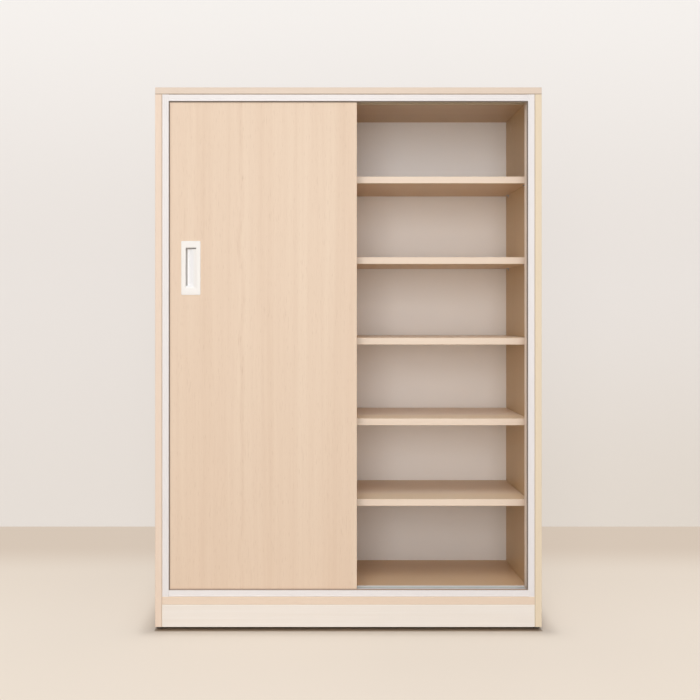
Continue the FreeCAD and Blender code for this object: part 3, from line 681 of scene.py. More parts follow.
def drawn(name, outline, start, end):
    """Solid whose outline, a list of points about the origin, is drawn from one point to another."""
    return skinned(name, [[place + point for point in outline] for place in (start, end)])


def arc(centre, radius, start, end, steps):
    """Points of an arc in a plane, from one angle to another."""
    angles = [start + (end - start) * step / steps for step in range(steps + 1)]
    return [(centre[0] + radius * math.cos(a), centre[1] + radius * math.sin(a)) for a in angles]


def rounded_outline(corners, steps=3):
    """Plane outline from (across, up, radius) corners that are right angles."""
    outline = []
    count = len(corners)
    for index, (across, up, radius) in enumerate(corners):
        corner = Vector((across, up))
        if radius == 0:
            outline.append(corner)
            continue
        before = (Vector(corners[index - 1][:2]) - corner).normalized() * radius
        after = (Vector(corners[(index + 1) % count][:2]) - corner).normalized() * radius
        centre = corner + before + after
        for step in range(steps + 1):
            angle = QUARTER_TURN * step / steps
            outline.append(centre - after * math.cos(angle) - before * math.sin(angle))
    return outline


def round_rectangle(left, right, low, high, radius, steps=6):
    """Points (across, up) of a rectangle with round corners."""
    outline = []
    for turn, (across, up) in enumerate((
        (right - radius, high - radius), (left + radius, high - radius),
        (left + radius, low + radius), (right - radius, low + radius),
    )):
        outline += arc((across, up), radius, turn * QUARTER_TURN, (turn + 1) * QUARTER_TURN, steps)
    return outline


def linked(name, mesh):
    """Object for a mesh, in the scene."""
    thing = bpy.data.objects.new(name, mesh)
    bpy.context.scene.collection.objects.link(thing)
    return thing


def settled(thing):
    """Mesh of an object with its modifiers worked in. The object goes."""
    seen = thing.evaluated_get(bpy.context.evaluated_depsgraph_get())
    mesh = bpy.data.meshes.new_from_object(seen)
    bpy.data.objects.remove(thing)
    return mesh


def eased(mesh, width, segments=2):
    """The mesh with its sharp edges rounded."""
    thing = linked(mesh.name, mesh)
    bevel = thing.modifiers.new("Bevel", "BEVEL")
    bevel.width = width
    bevel.segments = segments
    bevel.limit_method = "ANGLE"
    bevel.angle_limit = SMOOTH_ANGLE
    return settled(thing)


def combined(mesh, other, operation):
    """Union or difference of two meshes."""
    thing, tool = linked(mesh.name, mesh), linked(other.name, other)
    boolean = thing.modifiers.new("Boolean", "BOOLEAN")
    boolean.operation = operation
    boolean.solver = "EXACT"
    boolean.object = tool
    mesh = settled(thing)
    bpy.data.objects.remove(tool)
    return mesh


def finish_piece(name, mesh, material, body, slot, *nodes):
    """Make a mesh a piece of the cabinet, which stands for some CAD nodes."""
    mesh.materials.clear()
    mesh.materials.append(material)
    mesh.shade_smooth()
    mesh.set_sharp_from_angle(angle=SMOOTH_ANGLE)
    thing = linked(name, mesh)
    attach(thing, body)
    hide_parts(*nodes)
    return thing


# Places, read from the CAD nodes


def separate_solids(node):
    """The points of each separate solid of a CAD node, in a steady order."""
    shape = bmesh.new()
    shape.from_mesh(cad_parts[node].data)
    bmesh.ops.remove_doubles(shape, verts=shape.verts, dist=SAME_POINT)
    waiting = set(shape.verts)
    found = []
    while waiting:
        reached = [waiting.pop()]
        for vert in reached:
            for edge in vert.link_edges:
                other = edge.other_vert(vert)
                if other in waiting:
                    waiting.discard(other)
                    reached.append(other)
        found.append([vert.co.copy() for vert in reached])
    shape.free()
    return sorted(found, key=lambda points: [round(part, 5) for part in box_of(points)[0]])


def box_of(points):
    """Lowest and highest corner of some points."""
    return tuple(
        Vector([limit(point[axis] for point in points) for axis in range(3)]) for limit in (min, max)
    )


def seat(points, axis):
    """Where a solid's wide end is, along an axis, and the way to its narrow end."""
    low, high = box_of(points)
    middle = (low + high) / 2
    ends = []
    for end in (low[axis], high[axis]):
        there = [point - middle for point in points if abs(point[axis] - end) < SAME_LEVEL]
        for offset in there:
            offset[axis] = 0
        ends.append((max(offset.length for offset in there), end))
    wide, narrow = max(ends), min(ends)
    spot = middle.copy()
    spot[axis] = wide[1]
    aim = Vector((0, 0, 0))
    aim[axis] = math.copysign(1, narrow[1] - wide[1])
    return spot, aim


def long_axis(points):
    """The axis along which a solid is longest."""
    low, high = box_of(points)
    return max(range(3), key=lambda axis: high[axis] - low[axis])


def thin_axis(points):
    """The axis along which a solid is thinnest."""
    low, high = box_of(points)
    return min(range(3), key=lambda axis: high[axis] - low[axis])


def turn_to(aim, side):
    """Angles that turn Z to aim and X towards side."""
    across = side - aim * side.dot(aim)
    across.normalize()
    return Matrix((across, aim.cross(across), aim)).transposed().to_euler()


def spots_mesh(name, spots):
    """Points for copies, each with its own turn, from (place, angles) pairs."""
    mesh = bpy.data.meshes.new(name)
    mesh.from_pydata([place for place, angles in spots], [], [])
    turns = mesh.attributes.new(TURN, "FLOAT_VECTOR", "POINT")
    turns.data.foreach_set("vector", [part for place, angles in spots for part in angles])
    return mesh


# Geometry Nodes


def geometry_graph(name, inputs):
    """A Geometry Nodes tree with named inputs, and their wires."""
    tree = bpy.data.node_groups.new(name, "GeometryNodeTree")
    tree.is_modifier = True
    tree.interface.new_socket("Geometry", in_out="OUTPUT", socket_type="NodeSocketGeometry")
    tree.interface.new_socket("Geometry", in_out="INPUT", socket_type="NodeSocketGeometry")
    for label, kind in inputs.items():
        tree.interface.new_socket(label, in_out="INPUT", socket_type=kind)
    graph = Graph(tree)
    entry = tree.nodes.new("NodeGroupInput")
    wires = {socket.name: Wire(graph, socket) for socket in entry.outputs if socket.name}
    return graph, wires


def close_tree(graph, geometry, material):
    """End a tree: copies become real, and take their finish."""
    real = graph.node("GeometryNodeRealizeInstances", {}, {"Geometry": geometry})
    painted = graph.node("GeometryNodeSetMaterial", {}, {"Geometry": real, "Material": material})
    graph.node("NodeGroupOutput", {}, {"Geometry": painted})
    return graph.tree


def copies(graph, spots, pattern, twist, seed):
    """Copies of an object on points, turned by their points' angles and by chance about their own axis."""
    shape = graph.node("GeometryNodeObjectInfo", {}, {"Object": pattern}, "Geometry")
    angles = graph.node("GeometryNodeInputNamedAttribute", {"data_type": "FLOAT_VECTOR"}, {"Name": TURN})
    chance = graph.node(
        "FunctionNodeRandomValue", {"data_type": "FLOAT"}, {2: 0.0, 3: twist, "Seed": seed}, 1
    )
    spin = graph.node("FunctionNodeAxisAngleToRotation", {}, {"Axis": UP, "Angle": chance})
    turn = graph.node("FunctionNodeRotateRotation", {"rotation_space": "LOCAL"}, {
        "Rotation": graph.node("FunctionNodeEulerToRotation", {}, {"Euler": angles}), "Rotate By": spin,
    })
    return graph.node("GeometryNodeInstanceOnPoints", {}, {
        "Points": spots, "Instance": shape, "Rotation": turn,
    })


def copies_tree():
    """Tree that sets copies of a pattern on the modified object's points."""
    graph, given = geometry_graph("Copies on points", {
        "Pattern": "NodeSocketObject",
        "Twist": "NodeSocketFloat",
        "Seed": "NodeSocketInt",
        "Finish": "NodeSocketMaterial",
    })
    placed = copies(graph, given["Geometry"], given["Pattern"], given["Twist"], given["Seed"])
    return close_tree(graph, placed, given["Finish"])


def frame_bar_tree():
    """Tree that draws a section's face along a run, and sinks it for its screws."""
    graph, given = geometry_graph("Frame bar", {
        "Run": "NodeSocketVector",
        "Screw Spots": "NodeSocketObject",
        "Countersink": "NodeSocketObject",
        "Finish": "NodeSocketMaterial",
    })
    face = given["Geometry"]
    bar = graph.node("GeometryNodeExtrudeMesh", {"mode": "FACES"}, {
        "Mesh": face, "Offset": given["Run"], "Offset Scale": 1.0, "Individual": False,
    })
    start = graph.node("GeometryNodeFlipFaces", {}, {"Mesh": face})
    whole = graph.node("GeometryNodeMergeByDistance", {}, {
        "Geometry": graph.node("GeometryNodeJoinGeometry", {}, {"Geometry": [bar, start]}),
        "Distance": SAME_POINT,
    })
    spots = graph.node("GeometryNodeObjectInfo", {}, {"Object": given["Screw Spots"]}, "Geometry")
    sinks = graph.node("GeometryNodeRealizeInstances", {}, {
        "Geometry": copies(graph, spots, given["Countersink"], 0.0, 0),
    })
    sunk = graph.node("GeometryNodeMeshBoolean", {"operation": "DIFFERENCE", "solver": "EXACT"}, {
        "Mesh 1": whole, "Mesh 2": sinks,
    })
    return close_tree(graph, sunk, given["Finish"])


def grown(mesh, tree, values):
    """Mesh that a tree makes of a mesh, with the tree's inputs set by name."""
    thing = linked(mesh.name, mesh)
    modifier = thing.modifiers.new(tree.name, "NODES")
    modifier.node_group = tree
    for item in tree.interface.items_tree:
        if item.in_out == "INPUT" and item.name in values:
            modifier[item.identifier] = values[item.name]
    return settled(thing)


def copied(name, pattern, spots, tree, material, twist=0.0, seed=0):
    """Mesh of copies of a pattern's mesh on spots."""
    master = linked(f"{name}_pattern", pattern)
    mesh = grown(spots_mesh(name, spots), tree, {
        "Pattern": master, "Twist": twist, "Seed": seed, "Finish": material,
    })
    bpy.data.objects.remove(master)
    return mesh


# Pieces


def band_planes(front):
    """Where an edge band ends, and the slab behind it, from the place of a board's front face."""
    return (Y, front + BAND), (Y, front + BAND, FAR)


def side_boards():
    """Laminate for the side panels. Their washes stay off the outer faces."""
    banded, behind = band_planes(CAD_BOX[0].y)
    low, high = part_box("side_panel_right")
    inner_face, outer_face = low.x + BAND / 2, high.x - BAND / 2
    washes = (colours().left_wash, colours().right_wash)
    for index, side in enumerate(SIDES):
        node = f"side_panel_{side}"
        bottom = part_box(node)[0].z
        clad(node, oak(
            f"oak_{node}", Z, (1.3 * index, 0.7, 0.4 * index),
            raw=[(Y, CAD_BOX[1].y), (Z, bottom)],
            band=banded,
            inside=[(X, -inner_face, inner_face), behind],
            wash=(washes[index], 0.35, [(X, -outer_face, outer_face)]),
            seams=[(X, -inner_face, 0.3), (X, inner_face, 0.3)],
        ))


def top_and_bottom_boards():
    """Laminate for the top and the bottom panel."""
    banded, behind = band_planes(CAD_BOX[0].y)
    raw = [(Y, CAD_BOX[1].y)]
    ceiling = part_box("top_panel")[0].z + BAND / 2
    clad("top_panel", oak(
        "oak_top_panel", X, (0.2, 2.1, 0.6), raw, banded,
        inside=[(Z, 0, ceiling), behind],
        wash=(colours().top_wash, 0.4, ()),
        seams=[(Z, ceiling, 0.55)],
    ))
    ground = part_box("bottom_panel")[1].z - BAND / 2
    clad("bottom_panel", oak(
        "oak_bottom_panel", X, (0.9, 3.3, 1.1), raw, banded,
        inside=[(Z, ground, FAR), behind],
        wash=(colours().oak_band, 0.35, ()),
        # Painted light in front on the bottom panel's upper face
        upper=(ground, None, (colours().bottom_painted_light, (-0.15, 0.09))),
    ))


def inner_boards():
    """Laminate for the divider, the shelves and the brace. The lowest shelves have painted shade on their
    upper faces at the back, and every shelf has painted light on its upper face in front.
    """
    tone = colours()
    banded, behind = band_planes(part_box("centre_divider")[0].y)
    clad("centre_divider", oak("oak_centre_divider", Z, (2.2, 0.3, 0.8), (), banded, inside=[behind]))
    clad("plinth_brace", oak("oak_plinth_brace", Y, (0.4, 0.6, 0.2)))
    lowest = min(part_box(node)[1].z for node in shelf_nodes())
    for index, node in enumerate(shelf_nodes()):
        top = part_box(node)[1].z
        upper_face = top - BAND / 2
        # Painted shade at the back of the lowest shelves' upper faces, and painted light in front of every
        # shelf's
        far = (tone.far_painted_shade, (-0.04, 0.04)) if top < lowest + BAND else None
        clad(node, oak(
            f"oak_{node}", X, (0.37 * index, 0.83 * index, 0.29 * index), (), banded,
            inside=[behind, (Z, 0, upper_face)],
            wash=(tone.oak_band, 0.5, ()),
            upper=(upper_face, far, (tone.shelf_painted_light, (-0.07, 0.01))),
        ))


def shelf_nodes():
    """Names of the shelves, bay by bay."""
    return sorted(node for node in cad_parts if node.startswith("shelf_") and node[-1].isdigit())


def case_boards():
    """Laminate for the case, the shelves and the plinths, and the coated back."""
    side_boards()
    top_and_bottom_boards()
    inner_boards()
    for index, node in enumerate(("plinth_front", "plinth_rear")):
        clad(node, pale_board(f"pale_{node}", (0.5 * index, 0.2, 0.9 * index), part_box(node)))
    back_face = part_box("back_panel")[0].y
    heights = sorted([corner.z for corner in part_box(node)] for node in shelf_nodes())
    clad("back_panel", coated_hardboard("coated_back", back_face, heights[0], heights[-1]))


def door_boards():
    """Laminate for the doors and their edging, with a vein left of the middle."""
    vein_place = 0.4
    for index, door in enumerate(DOORS):
        low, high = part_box(f"{door}_edging")
        shift = (0.61 + 1.7 * index, 1.4, 0.35 + 0.9 * index)
        edges = [(X, low.x), (Z, low.z)]
        veins = [(X, low.x + (high.x - low.x) * vein_place)]
        for part in ("panel", "edging"):
            laminate = oak(f"oak_{door}_{part}", Z, shift, soft_edges=edges, veins=veins)
            clad(f"{door}_{part}", laminate)


def frame_section():
    """Outline (depth, rise) of the frame's section: a web, and three legs, the first one grooved."""
    size = sizes()
    depth, height = span("jamb_left").y, span("jamb_left").x
    thick = size.leg_thickness
    tip, root = size.leg_tip_radius, size.leg_root_radius
    pitch = (depth - thick) / 2
    corners = [(0, 0, size.frame_corner_radius), (depth, 0, 0)]
    corners += [(depth, height, tip), (depth - thick, height, tip)]
    for leg in (pitch, 0):
        corners += [(leg + pitch, thick, root), (leg + thick, thick, root)]
        corners += [(leg + thick, height, tip), (leg, height, tip)]
    outline = rounded_outline(corners)
    for share in (2 / 3, 1 / 3):
        middle = height * share
        outline += [
            Vector((0, middle + size.groove_width / 2)),
            Vector((size.groove_depth, middle)),
            Vector((0, middle - size.groove_width / 2)),
        ]
    return outline


def countersink(head, shank):
    """Closed shape that a countersunk screw's hole takes out of the web, with its mouth at z = 0."""
    proud, play, deep, segments = 0.0003, 0.00006, 0.006, 24
    return turned("countersink", [
        (-proud, 0), (-proud, head + play), (0, head + play), (head - shank, shank + play),
        (deep, shank + play), (deep, 0),
    ], segments)


def section_face(name, outline, start, inward, along):
    """The frame's section as a flat face at the start of a bar, which looks along the bar."""
    points = [start + BACKWARD * point.x + inward * point.y for point in outline]
    if BACKWARD.cross(inward).dot(along) < 0:
        points.reverse()
    face = bpy.data.meshes.new(name)
    face.from_pydata(points, [], [range(len(points))])
    return face


def spots_in_bar(spots, box, start, inward):
    """The spots of the screws whose heads lie in the web of a bar."""
    low, high = box
    reach = 2 * sizes().leg_thickness
    return [
        (place, angles) for place, angles in spots
        if all(low[axis] - reach < place[axis] < high[axis] + reach for axis in range(3))
        and abs((place - start).dot(inward)) < reach
    ]


def door_frame():
    """Tracks and jambs of the white frame, drawn along their runs."""
    tree = frame_bar_tree()
    tone = colours()
    outline = frame_section()
    screws = seats("frame_screws", long_axis)
    sink = linked("countersink", countersink(*FRAME_SCREW))
    # Each bar with the painted shade of its channels
    for node, inward, along, inside in (
        ("jamb_left", RIGHTWARD, UP, tone.jamb_channel_shade),
        ("jamb_right", LEFTWARD, UP, tone.jamb_channel_shade),
        ("bottom_track", UP, RIGHTWARD, tone.bottom_channel_shade),
        ("top_track", DOWN, RIGHTWARD, tone.top_channel_shade),
    ):
        coat = powder_coat(node, inside, inward)
        low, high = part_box(node)
        start = Vector([low[axis] if inward[axis] >= 0 else high[axis] for axis in range(3)])
        face = section_face(f"{node}_face", outline, start, inward, along)
        near = spots_in_bar(screws, (low, high), start, inward)
        spots = linked(f"{node}_spots", spots_mesh(f"{node}_spots", near))
        run = along * (high - low).dot(along)
        mesh = grown(face, tree, {"Run": run, "Screw Spots": spots, "Countersink": sink, "Finish": coat})
        bpy.data.objects.remove(spots)
        finish_piece(f"{node}_section", mesh, coat, "case", "white_frame", node)
    bpy.data.objects.remove(sink)


def seats(node, axis_of):
    """Spots where the solids of a node sit, with Z along the axis that a function picks for each."""
    spots = []
    for points in separate_solids(node):
        place, aim = seat(points, axis_of(points))
        spots.append((place, turn_to(aim, BACKWARD)))
    return spots


def screw_mesh(name, head, shank, total):
    """Countersunk screw with a cross recess and a thread, from its head's face at z = 0 to its tip."""
    pitch = sizes().thread_pitch
    segments, rings_per_turn, thread_depth = 24, 4, 0.3
    arm, half_width, recess = head * 0.56, head * 0.13, head * 0.42
    soft = head * 0.06
    tip = 2 * shank

    def cross(share):
        def radius(angle):
            cosine, sine = abs(math.cos(angle)) + SAME_POINT, abs(math.sin(angle)) + SAME_POINT
            first = min(arm * share / cosine, half_width * share / sine)
            second = min(half_width * share / cosine, arm * share / sine)
            return max(first, second)
        return radius

    def thread(height):
        crest = shank * min(1, (total - height) / tip)

        def radius(angle):
            phase = (height / pitch + angle / FULL_TURN) % 1
            return crest * (1 - thread_depth * abs(2 * phase - 1))
        return radius

    neck = head - shank
    stations = [
        (recess, 0), (recess, cross(0.5)), (0, cross(1)), (0, head - soft), (soft, head),
        (neck, shank), (neck + pitch, shank),
    ]
    rings = int((total - neck - pitch) / pitch * rings_per_turn)
    first = neck + pitch + pitch / rings_per_turn
    heights = [first + (total - first) * step / rings for step in range(rings)]
    stations += [(height, thread(height)) for height in heights]
    stations.append((total, 0))
    return turned(name, stations, segments)


def all_screws():
    """Screws of the frame, the feet and the doors' fittings."""
    tree = copies_tree()
    steel = zinc_steel()
    kinds = [
        ("frame_screws", "case", FRAME_SCREW, 3),
        ("foot_screws", "case", FRAME_SCREW, 5),
        ("front_door_screws", "front_door", DOOR_SCREW, 7),
        ("rear_door_screws", "rear_door", DOOR_SCREW, 11),
    ]
    for node, body, radii, seed in kinds:
        points = separate_solids(node)[0]
        low, high = box_of(points)
        total = (high - low)[long_axis(points)]
        pattern = screw_mesh(node, *radii, total)
        mesh = copied(f"{node}_threaded", pattern, seats(node, long_axis), tree, steel, FULL_TURN, seed)
        finish_piece(f"{node}_threaded", mesh, steel, body, "bright_steel", node)


def shelf_pin_mesh():
    """Angle bracket with its pin. X points away from the upright, and the pin's axis is z = 0."""
    points = separate_solids("shelf_pins")[0]
    low, high = box_of(points)
    width, height = high.y - low.y, high.z - low.z
    thick, reach, pin = 0.0016, 0.007, 0.00245
    soft, inner_bend, outer_bend = 0.0006, 0.0015, 0.0012
    top = height / 2
    outline = rounded_outline([
        (0, -top, soft), (thick, -top, soft), (thick, top - thick, inner_bend),
        (reach, top - thick, soft), (reach, top, soft), (0, top, outer_bend),
    ])
    profile = [Vector((across, 0, up)) for across, up in outline]
    bracket = drawn("bracket", profile, Vector((0, -width / 2, 0)), Vector((0, width / 2, 0)))
    end = high.x - low.x - reach
    root, waist, chamfer, segments = 0.001, pin * 0.9, 0.0005, 20
    bar = turned("pin", [
        (-root, 0), (-root, pin), (end * 0.3, pin), (end * 0.36, waist), (end * 0.42, pin),
        (end - chamfer, pin), (end, pin - chamfer), (end, 0),
    ], segments)
    bar.transform(Matrix.Rotation(-QUARTER_TURN, 4, "Y"))
    return combined(bracket, bar, "UNION")


def shelf_pins():
    """Shelf pins, four under each shelf."""
    spots = []
    for points in separate_solids("shelf_pins"):
        low, high = box_of(points)
        top = [point.x for point in points if abs(point.z - high.z) < SAME_LEVEL]
        middle = (low + high) / 2
        ends = sorted((min(top), max(top)), key=lambda place: abs(place - middle.x))
        inward = RIGHTWARD if ends[1] > ends[0] else LEFTWARD
        spots.append((Vector((ends[0], middle.y, middle.z)), turn_to(UP, inward)))
    steel = zinc_steel()
    mesh = copied("shelf_pin_brackets", shelf_pin_mesh(), spots, copies_tree(), steel)
    finish_piece("shelf_pin_brackets", mesh, steel, "case", "bright_steel", "shelf_pins")


def cap_mesh(radius, thickness):
    """Thin cover cap, a little dished, with its seat at z = 0."""
    segments = 40
    return turned("cap", [
        (0, 0), (0, radius), (thickness * 0.45, radius), (thickness * 0.8, radius - thickness * 0.2),
        (thickness, radius - thickness * 0.6), (thickness, radius * 0.72),
        (thickness * 0.85, radius * 0.6), (thickness * 0.8, 0),
    ], segments)


def dowel_mesh(radius, total):
    """Fluted dowel along Z with chamfered ends."""
    flutes = sizes().dowel_flutes
    flute_depth = 0.05

    def fluted(angle):
        return radius * (1 - flute_depth * (1 - math.cos(flutes * angle)) / 2)

    chamfer = radius * 0.25
    return turned("dowel", [
        (0, 0), (0, radius - chamfer), (chamfer, fluted), (total - chamfer, fluted),
        (total, radius - chamfer), (total, 0),
    ], 4 * flutes)


def cams_and_caps(tree):
    """Cams and bolts, and the caps that cover the cams."""
    steel = zinc_steel()
    clad("cam_locks", steel)
    clad("cam_bolts", steel)
    plastic = moulded("oak_cap_plastic", colours().cap, rough=0.5)
    node = "cam_cover_caps"
    low, high = box_of(separate_solids(node)[0])
    pattern = cap_mesh((high.y - low.y) / 2, min(high - low))
    mesh = copied("cam_cover_discs", pattern, seats(node, thin_axis), tree, plastic)
    finish_piece("cam_cover_discs", mesh, plastic, "case", "oak_plastic", node)


def dowels(tree):
    """Dowels, each on its own axis."""
    spots = []
    for points in separate_solids("wood_dowels"):
        axis = long_axis(points)
        low, high = box_of(points)
        place = (low + high) / 2
        place[axis] = low[axis]
        aim = Vector([float(index == axis) for index in range(3)])
        spots.append((place, turn_to(aim, Vector((aim.y, aim.z, aim.x)))))
    wood = beech()
    pattern = dowel_mesh(min(high - low) / 2, max(high - low))
    mesh = copied("fluted_dowels", pattern, spots, tree, wood, twist=FULL_TURN, seed=13)
    finish_piece("fluted_dowels", mesh, wood, "case", "beech", "wood_dowels")


def fittings():
    """Cams, bolts, caps and dowels that hold the boards together."""
    tree = copies_tree()
    cams_and_caps(tree)
    dowels(tree)


def bumper_mesh(across, along, thickness):
    """Rubber pad with ribs across it: X across, Y along, and its seat at z = 0."""
    ribs = sizes().bumper_ribs
    base = thickness * 0.68
    rib_height = thickness - base
    margin = along * 0.05
    pitch = (along - 2 * margin) / ribs
    rib_shape = ((-1, 0), (-0.72, 0.66), (0, 1), (0.72, 0.66), (1, 0))
    points = [(-along / 2, 0), (-along / 2, base)]
    for rib in range(ribs):
        middle = -along / 2 + margin + pitch * (rib + 0.5)
        points += [(middle + rib_height * side, base + rib_height * rise) for side, rise in rib_shape]
    points += [(along / 2, base), (along / 2, 0)]
    profile = [Vector((0, place, up)) for place, up in points]
    pad = drawn("bumper", profile, Vector((-across / 2, 0, 0)), Vector((across / 2, 0, 0)))
    return eased(pad, width=0.0003)


def door_bumpers():
    """Rubber bumpers in the jambs."""
    node = "door_bumpers"
    low, high = box_of(separate_solids(node)[-1])
    rubber = moulded("grey_rubber", colours().rubber, rough=0.75, texture=0.0012, relief=0.00004)
    pattern = bumper_mesh(high.y - low.y, high.z - low.z, high.x - low.x)
    mesh = copied("ribbed_bumpers", pattern, seats(node, thin_axis), copies_tree(), rubber)
    finish_piece("ribbed_bumpers", mesh, rubber, "case", "rubber", node)


def pull_ring(depth, left, right, low, high, radius):
    """Ring of a pull's shape at a depth, a rectangle with round corners."""
    outline = round_rectangle(left, right, low, high, radius)
    return [Vector((across, depth, up)) for across, up in outline]


def pull_outside(width, height, thickness):
    """Rings of a pull from the back of its cup round to the face of its rim."""
    size = sizes()
    rim, edge = size.pull_rim_thickness, size.pull_rim_radius
    cup_radius, cup_edge = 0.004, 0.001

    def ring(depth, inset, full_width, full_height, radius):
        across, up = full_width / 2 - inset, full_height / 2 - inset
        return pull_ring(depth, -across, across, -up, up, radius)

    rings = [
        ring(thickness, cup_edge, size.cup_width, size.cup_height, cup_radius - cup_edge),
        ring(thickness - cup_edge, 0, size.cup_width, size.cup_height, cup_radius),
        ring(rim, 0, size.cup_width, size.cup_height, cup_radius),
        ring(rim, 0, width, height, size.pull_corner_radius),
    ]
    for inset, depth in arc((edge, edge), edge, -math.pi, -QUARTER_TURN, 5):
        rings.append(ring(depth, inset, width, height, size.pull_corner_radius))
    return rings


def pull_mesh(width, height, thickness):
    """Flush pull: X across, Y into the door from the rim's face, Z up, and its lip at the left."""
    size = sizes()
    left, right = -size.mouth_width / 2, size.mouth_width / 2
    top = size.mouth_height / 2
    corner, fillet, lip_edge, lip_slope = 0.0018, 0.0012, 0.0004, 0.0002
    soft = size.mouth_radius
    floor = size.recess_depth
    hook = left - size.lip_reach
    lip_face = size.pull_rim_thickness + size.lip_thickness - lip_edge
    lip_back = lip_face + lip_slope

    def rise(depth):
        """How far along a ramp a depth is, from 0 at its top to 1 at its foot."""
        return math.acos(1 - 2 * min(1.0, depth / floor)) / math.pi

    def sloped(depth, low_x, inset=0.0):
        """Ring of the recess, with its ramps at the right and the lower end."""
        ramp = rise(depth)
        return pull_ring(depth, low_x + inset, right - size.ramp_run * ramp,
                         -top + size.ramp_low_run * ramp, top - inset, corner)

    rings = pull_outside(width, height, thickness)
    for inset, depth in arc((-soft, soft), soft, -QUARTER_TURN, 0, 4):
        up = top - inset
        rings.append(pull_ring(depth, left + inset, right - inset, -up, up, corner))
    lip_end, hook_rows = lip_face - 0.0006, (0.006, 0.0068, floor - fillet)
    wall = [(soft + share * (lip_end - soft), left) for share in (0.35, 0.7, 1)]
    wall += [(lip_face, left - lip_edge), (lip_back, hook)]
    wall += [(depth, hook) for depth in hook_rows]
    rings += [sloped(depth, low_x) for depth, low_x in wall]
    for inset, depth in arc((fillet, floor - fillet), fillet, math.pi, QUARTER_TURN, 4)[1:]:
        rings.append(sloped(depth, hook, inset))
    pull = skinned("pull", rings)
    grooves = (
        (hook, left + size.grip_width, soft - top, lip_back),
        (left, right, top - size.grip_top_width, soft),
    )
    for low_x, high_x, low_z, start in grooves:
        outline = pull_ring(0, low_x, high_x, low_z, top, corner / 2)
        cutter = drawn("groove", outline, Vector((0, start, 0)), Vector((0, size.grip_depth, 0)))
        pull = combined(pull, cutter, "DIFFERENCE")
    return pull


def pull_plastic(name, face):
    """White plastic of a pull, with painted light in the recess, and matt in the grooves, which are greyer
    with painted shade.
    """
    tone = colours()
    finish = Finish(name)
    grains = finish.noise(finish.place, 0.0007)
    clouds = finish.noise(finish.place, 0.03)
    depth = finish.place.part(Y) - face
    floor = sizes().recess_depth
    # The grooves get painted shade, and are matt
    groove = depth.step(floor + 0.0003, floor + 0.0007)
    recess = depth.step(0.0005, 0.003)
    paint = finish.mix((clouds * 0.5).kept(), tone.pull_white, dimmed(tone.pull_white, 0.95))
    # Painted light in the recess
    paint = finish.mix(recess * 0.8, paint, tone.pull_recess_light)
    return finish.surface({
        "Base Color": finish.mix(groove, paint, tone.pull_groove_shade),
        "Roughness": 0.38 + (grains - 0.5) * 0.16 + groove * 0.3,
        "Normal": finish.bump(grains, 0.00002),
    })


def flush_pulls():
    """A flush pull in each door, the rear one turned the other way."""
    for door, facing in (("front_door", 1), ("rear_door", -1)):
        node = f"{door}_pull"
        low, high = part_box(node)
        plastic = pull_plastic(f"{door}_pull_plastic", low.y)
        mesh = pull_mesh(high.x - low.x, high.z - low.z, high.y - low.y)
        place = Vector(((low.x + high.x) / 2, low.y, (low.z + high.z) / 2))
        mesh.transform(Matrix.Translation(place) @ Matrix.Diagonal((facing, 1, 1, 1)))
        if facing < 0:
            mesh.flip_normals()
        finish_piece(f"{door}_flush_pull", mesh, plastic, door, "white_plastic", node)


def wheel_mesh(name, radius, hub_width):
    """Nylon wheel about Y, with a crowned tread, a sunk disc and a proud hub."""
    bore, hub, rim = 0.00206, 0.0036, radius * 0.76
    hub_proud, disc_sunk = 0.0004, 0.0012
    half_hub = hub_width / 2
    half_rim = half_hub - hub_proud
    disc = half_rim - disc_sunk
    soft, slope, shoulder, crown, segments = 0.0003, 0.0002, 0.0007, 0.0001, 64
    side = [
        (half_hub, bore + soft), (half_hub, hub - soft), (half_hub - soft, hub),
        (disc, hub + slope), (disc, (hub + rim) / 2), (disc, rim - slope), (half_rim - slope, rim),
        (half_rim, rim + soft), (half_rim, radius - shoulder - slope),
        (half_rim - shoulder * 0.3, radius - shoulder * 0.4),
        (half_rim - shoulder, radius - crown), (half_rim * 0.4, radius - crown / 5),
    ]
    stations = [(half_hub - soft, bore)] + side
    stations += [(-height, reach) for height, reach in reversed(stations)]
    mesh = turned(name, stations, segments, closed=True)
    mesh.transform(Matrix.Rotation(QUARTER_TURN, 4, "X"))
    return mesh


def rollers_and_guides():
    """Wheels, and the finish of their housings, of their axles and of the top guides."""
    nylon = moulded("white_nylon", colours().nylon, rough=0.5, texture=0.0005)
    steel = zinc_steel()
    for door in DOORS:
        clad(f"{door}_top_guides", nylon)
        clad(f"{door}_wheel_axles", steel)
        for end in SIDES:
            clad(f"{door}_roller_housing_{end}", nylon)
            node = f"{door}_wheel_{end}"
            low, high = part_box(node)
            mesh = wheel_mesh(node, (high.z - low.z) / 2, high.y - low.y)
            mesh.transform(Matrix.Translation((low + high) / 2))
            finish_piece(f"{door}_nylon_wheel_{end}", mesh, nylon, node, "nylon", node)


def dust_seals():
    """Finish of the soft seals behind the frame's front leg."""
    brush = {"rough": 0.9, "texture": 0.0005, "relief": 0.0001}
    felt = moulded("grey_brush_felt", colours().seal, **brush)
    for place in (*SIDES, "top"):
        clad(f"dust_seal_{place}", felt)
    # The bottom seal's felt is made paler, as painted light
    clad("dust_seal_bottom", moulded("pale_brush_felt", colours().bottom_seal_light, **brush))


def floor_feet():
    """Finish of the feet."""
    plastic = moulded("dark_foot_plastic", colours().foot, rough=0.55, texture=0.0012, relief=0.00004)
    clad("floor_feet", plastic)


# Stage


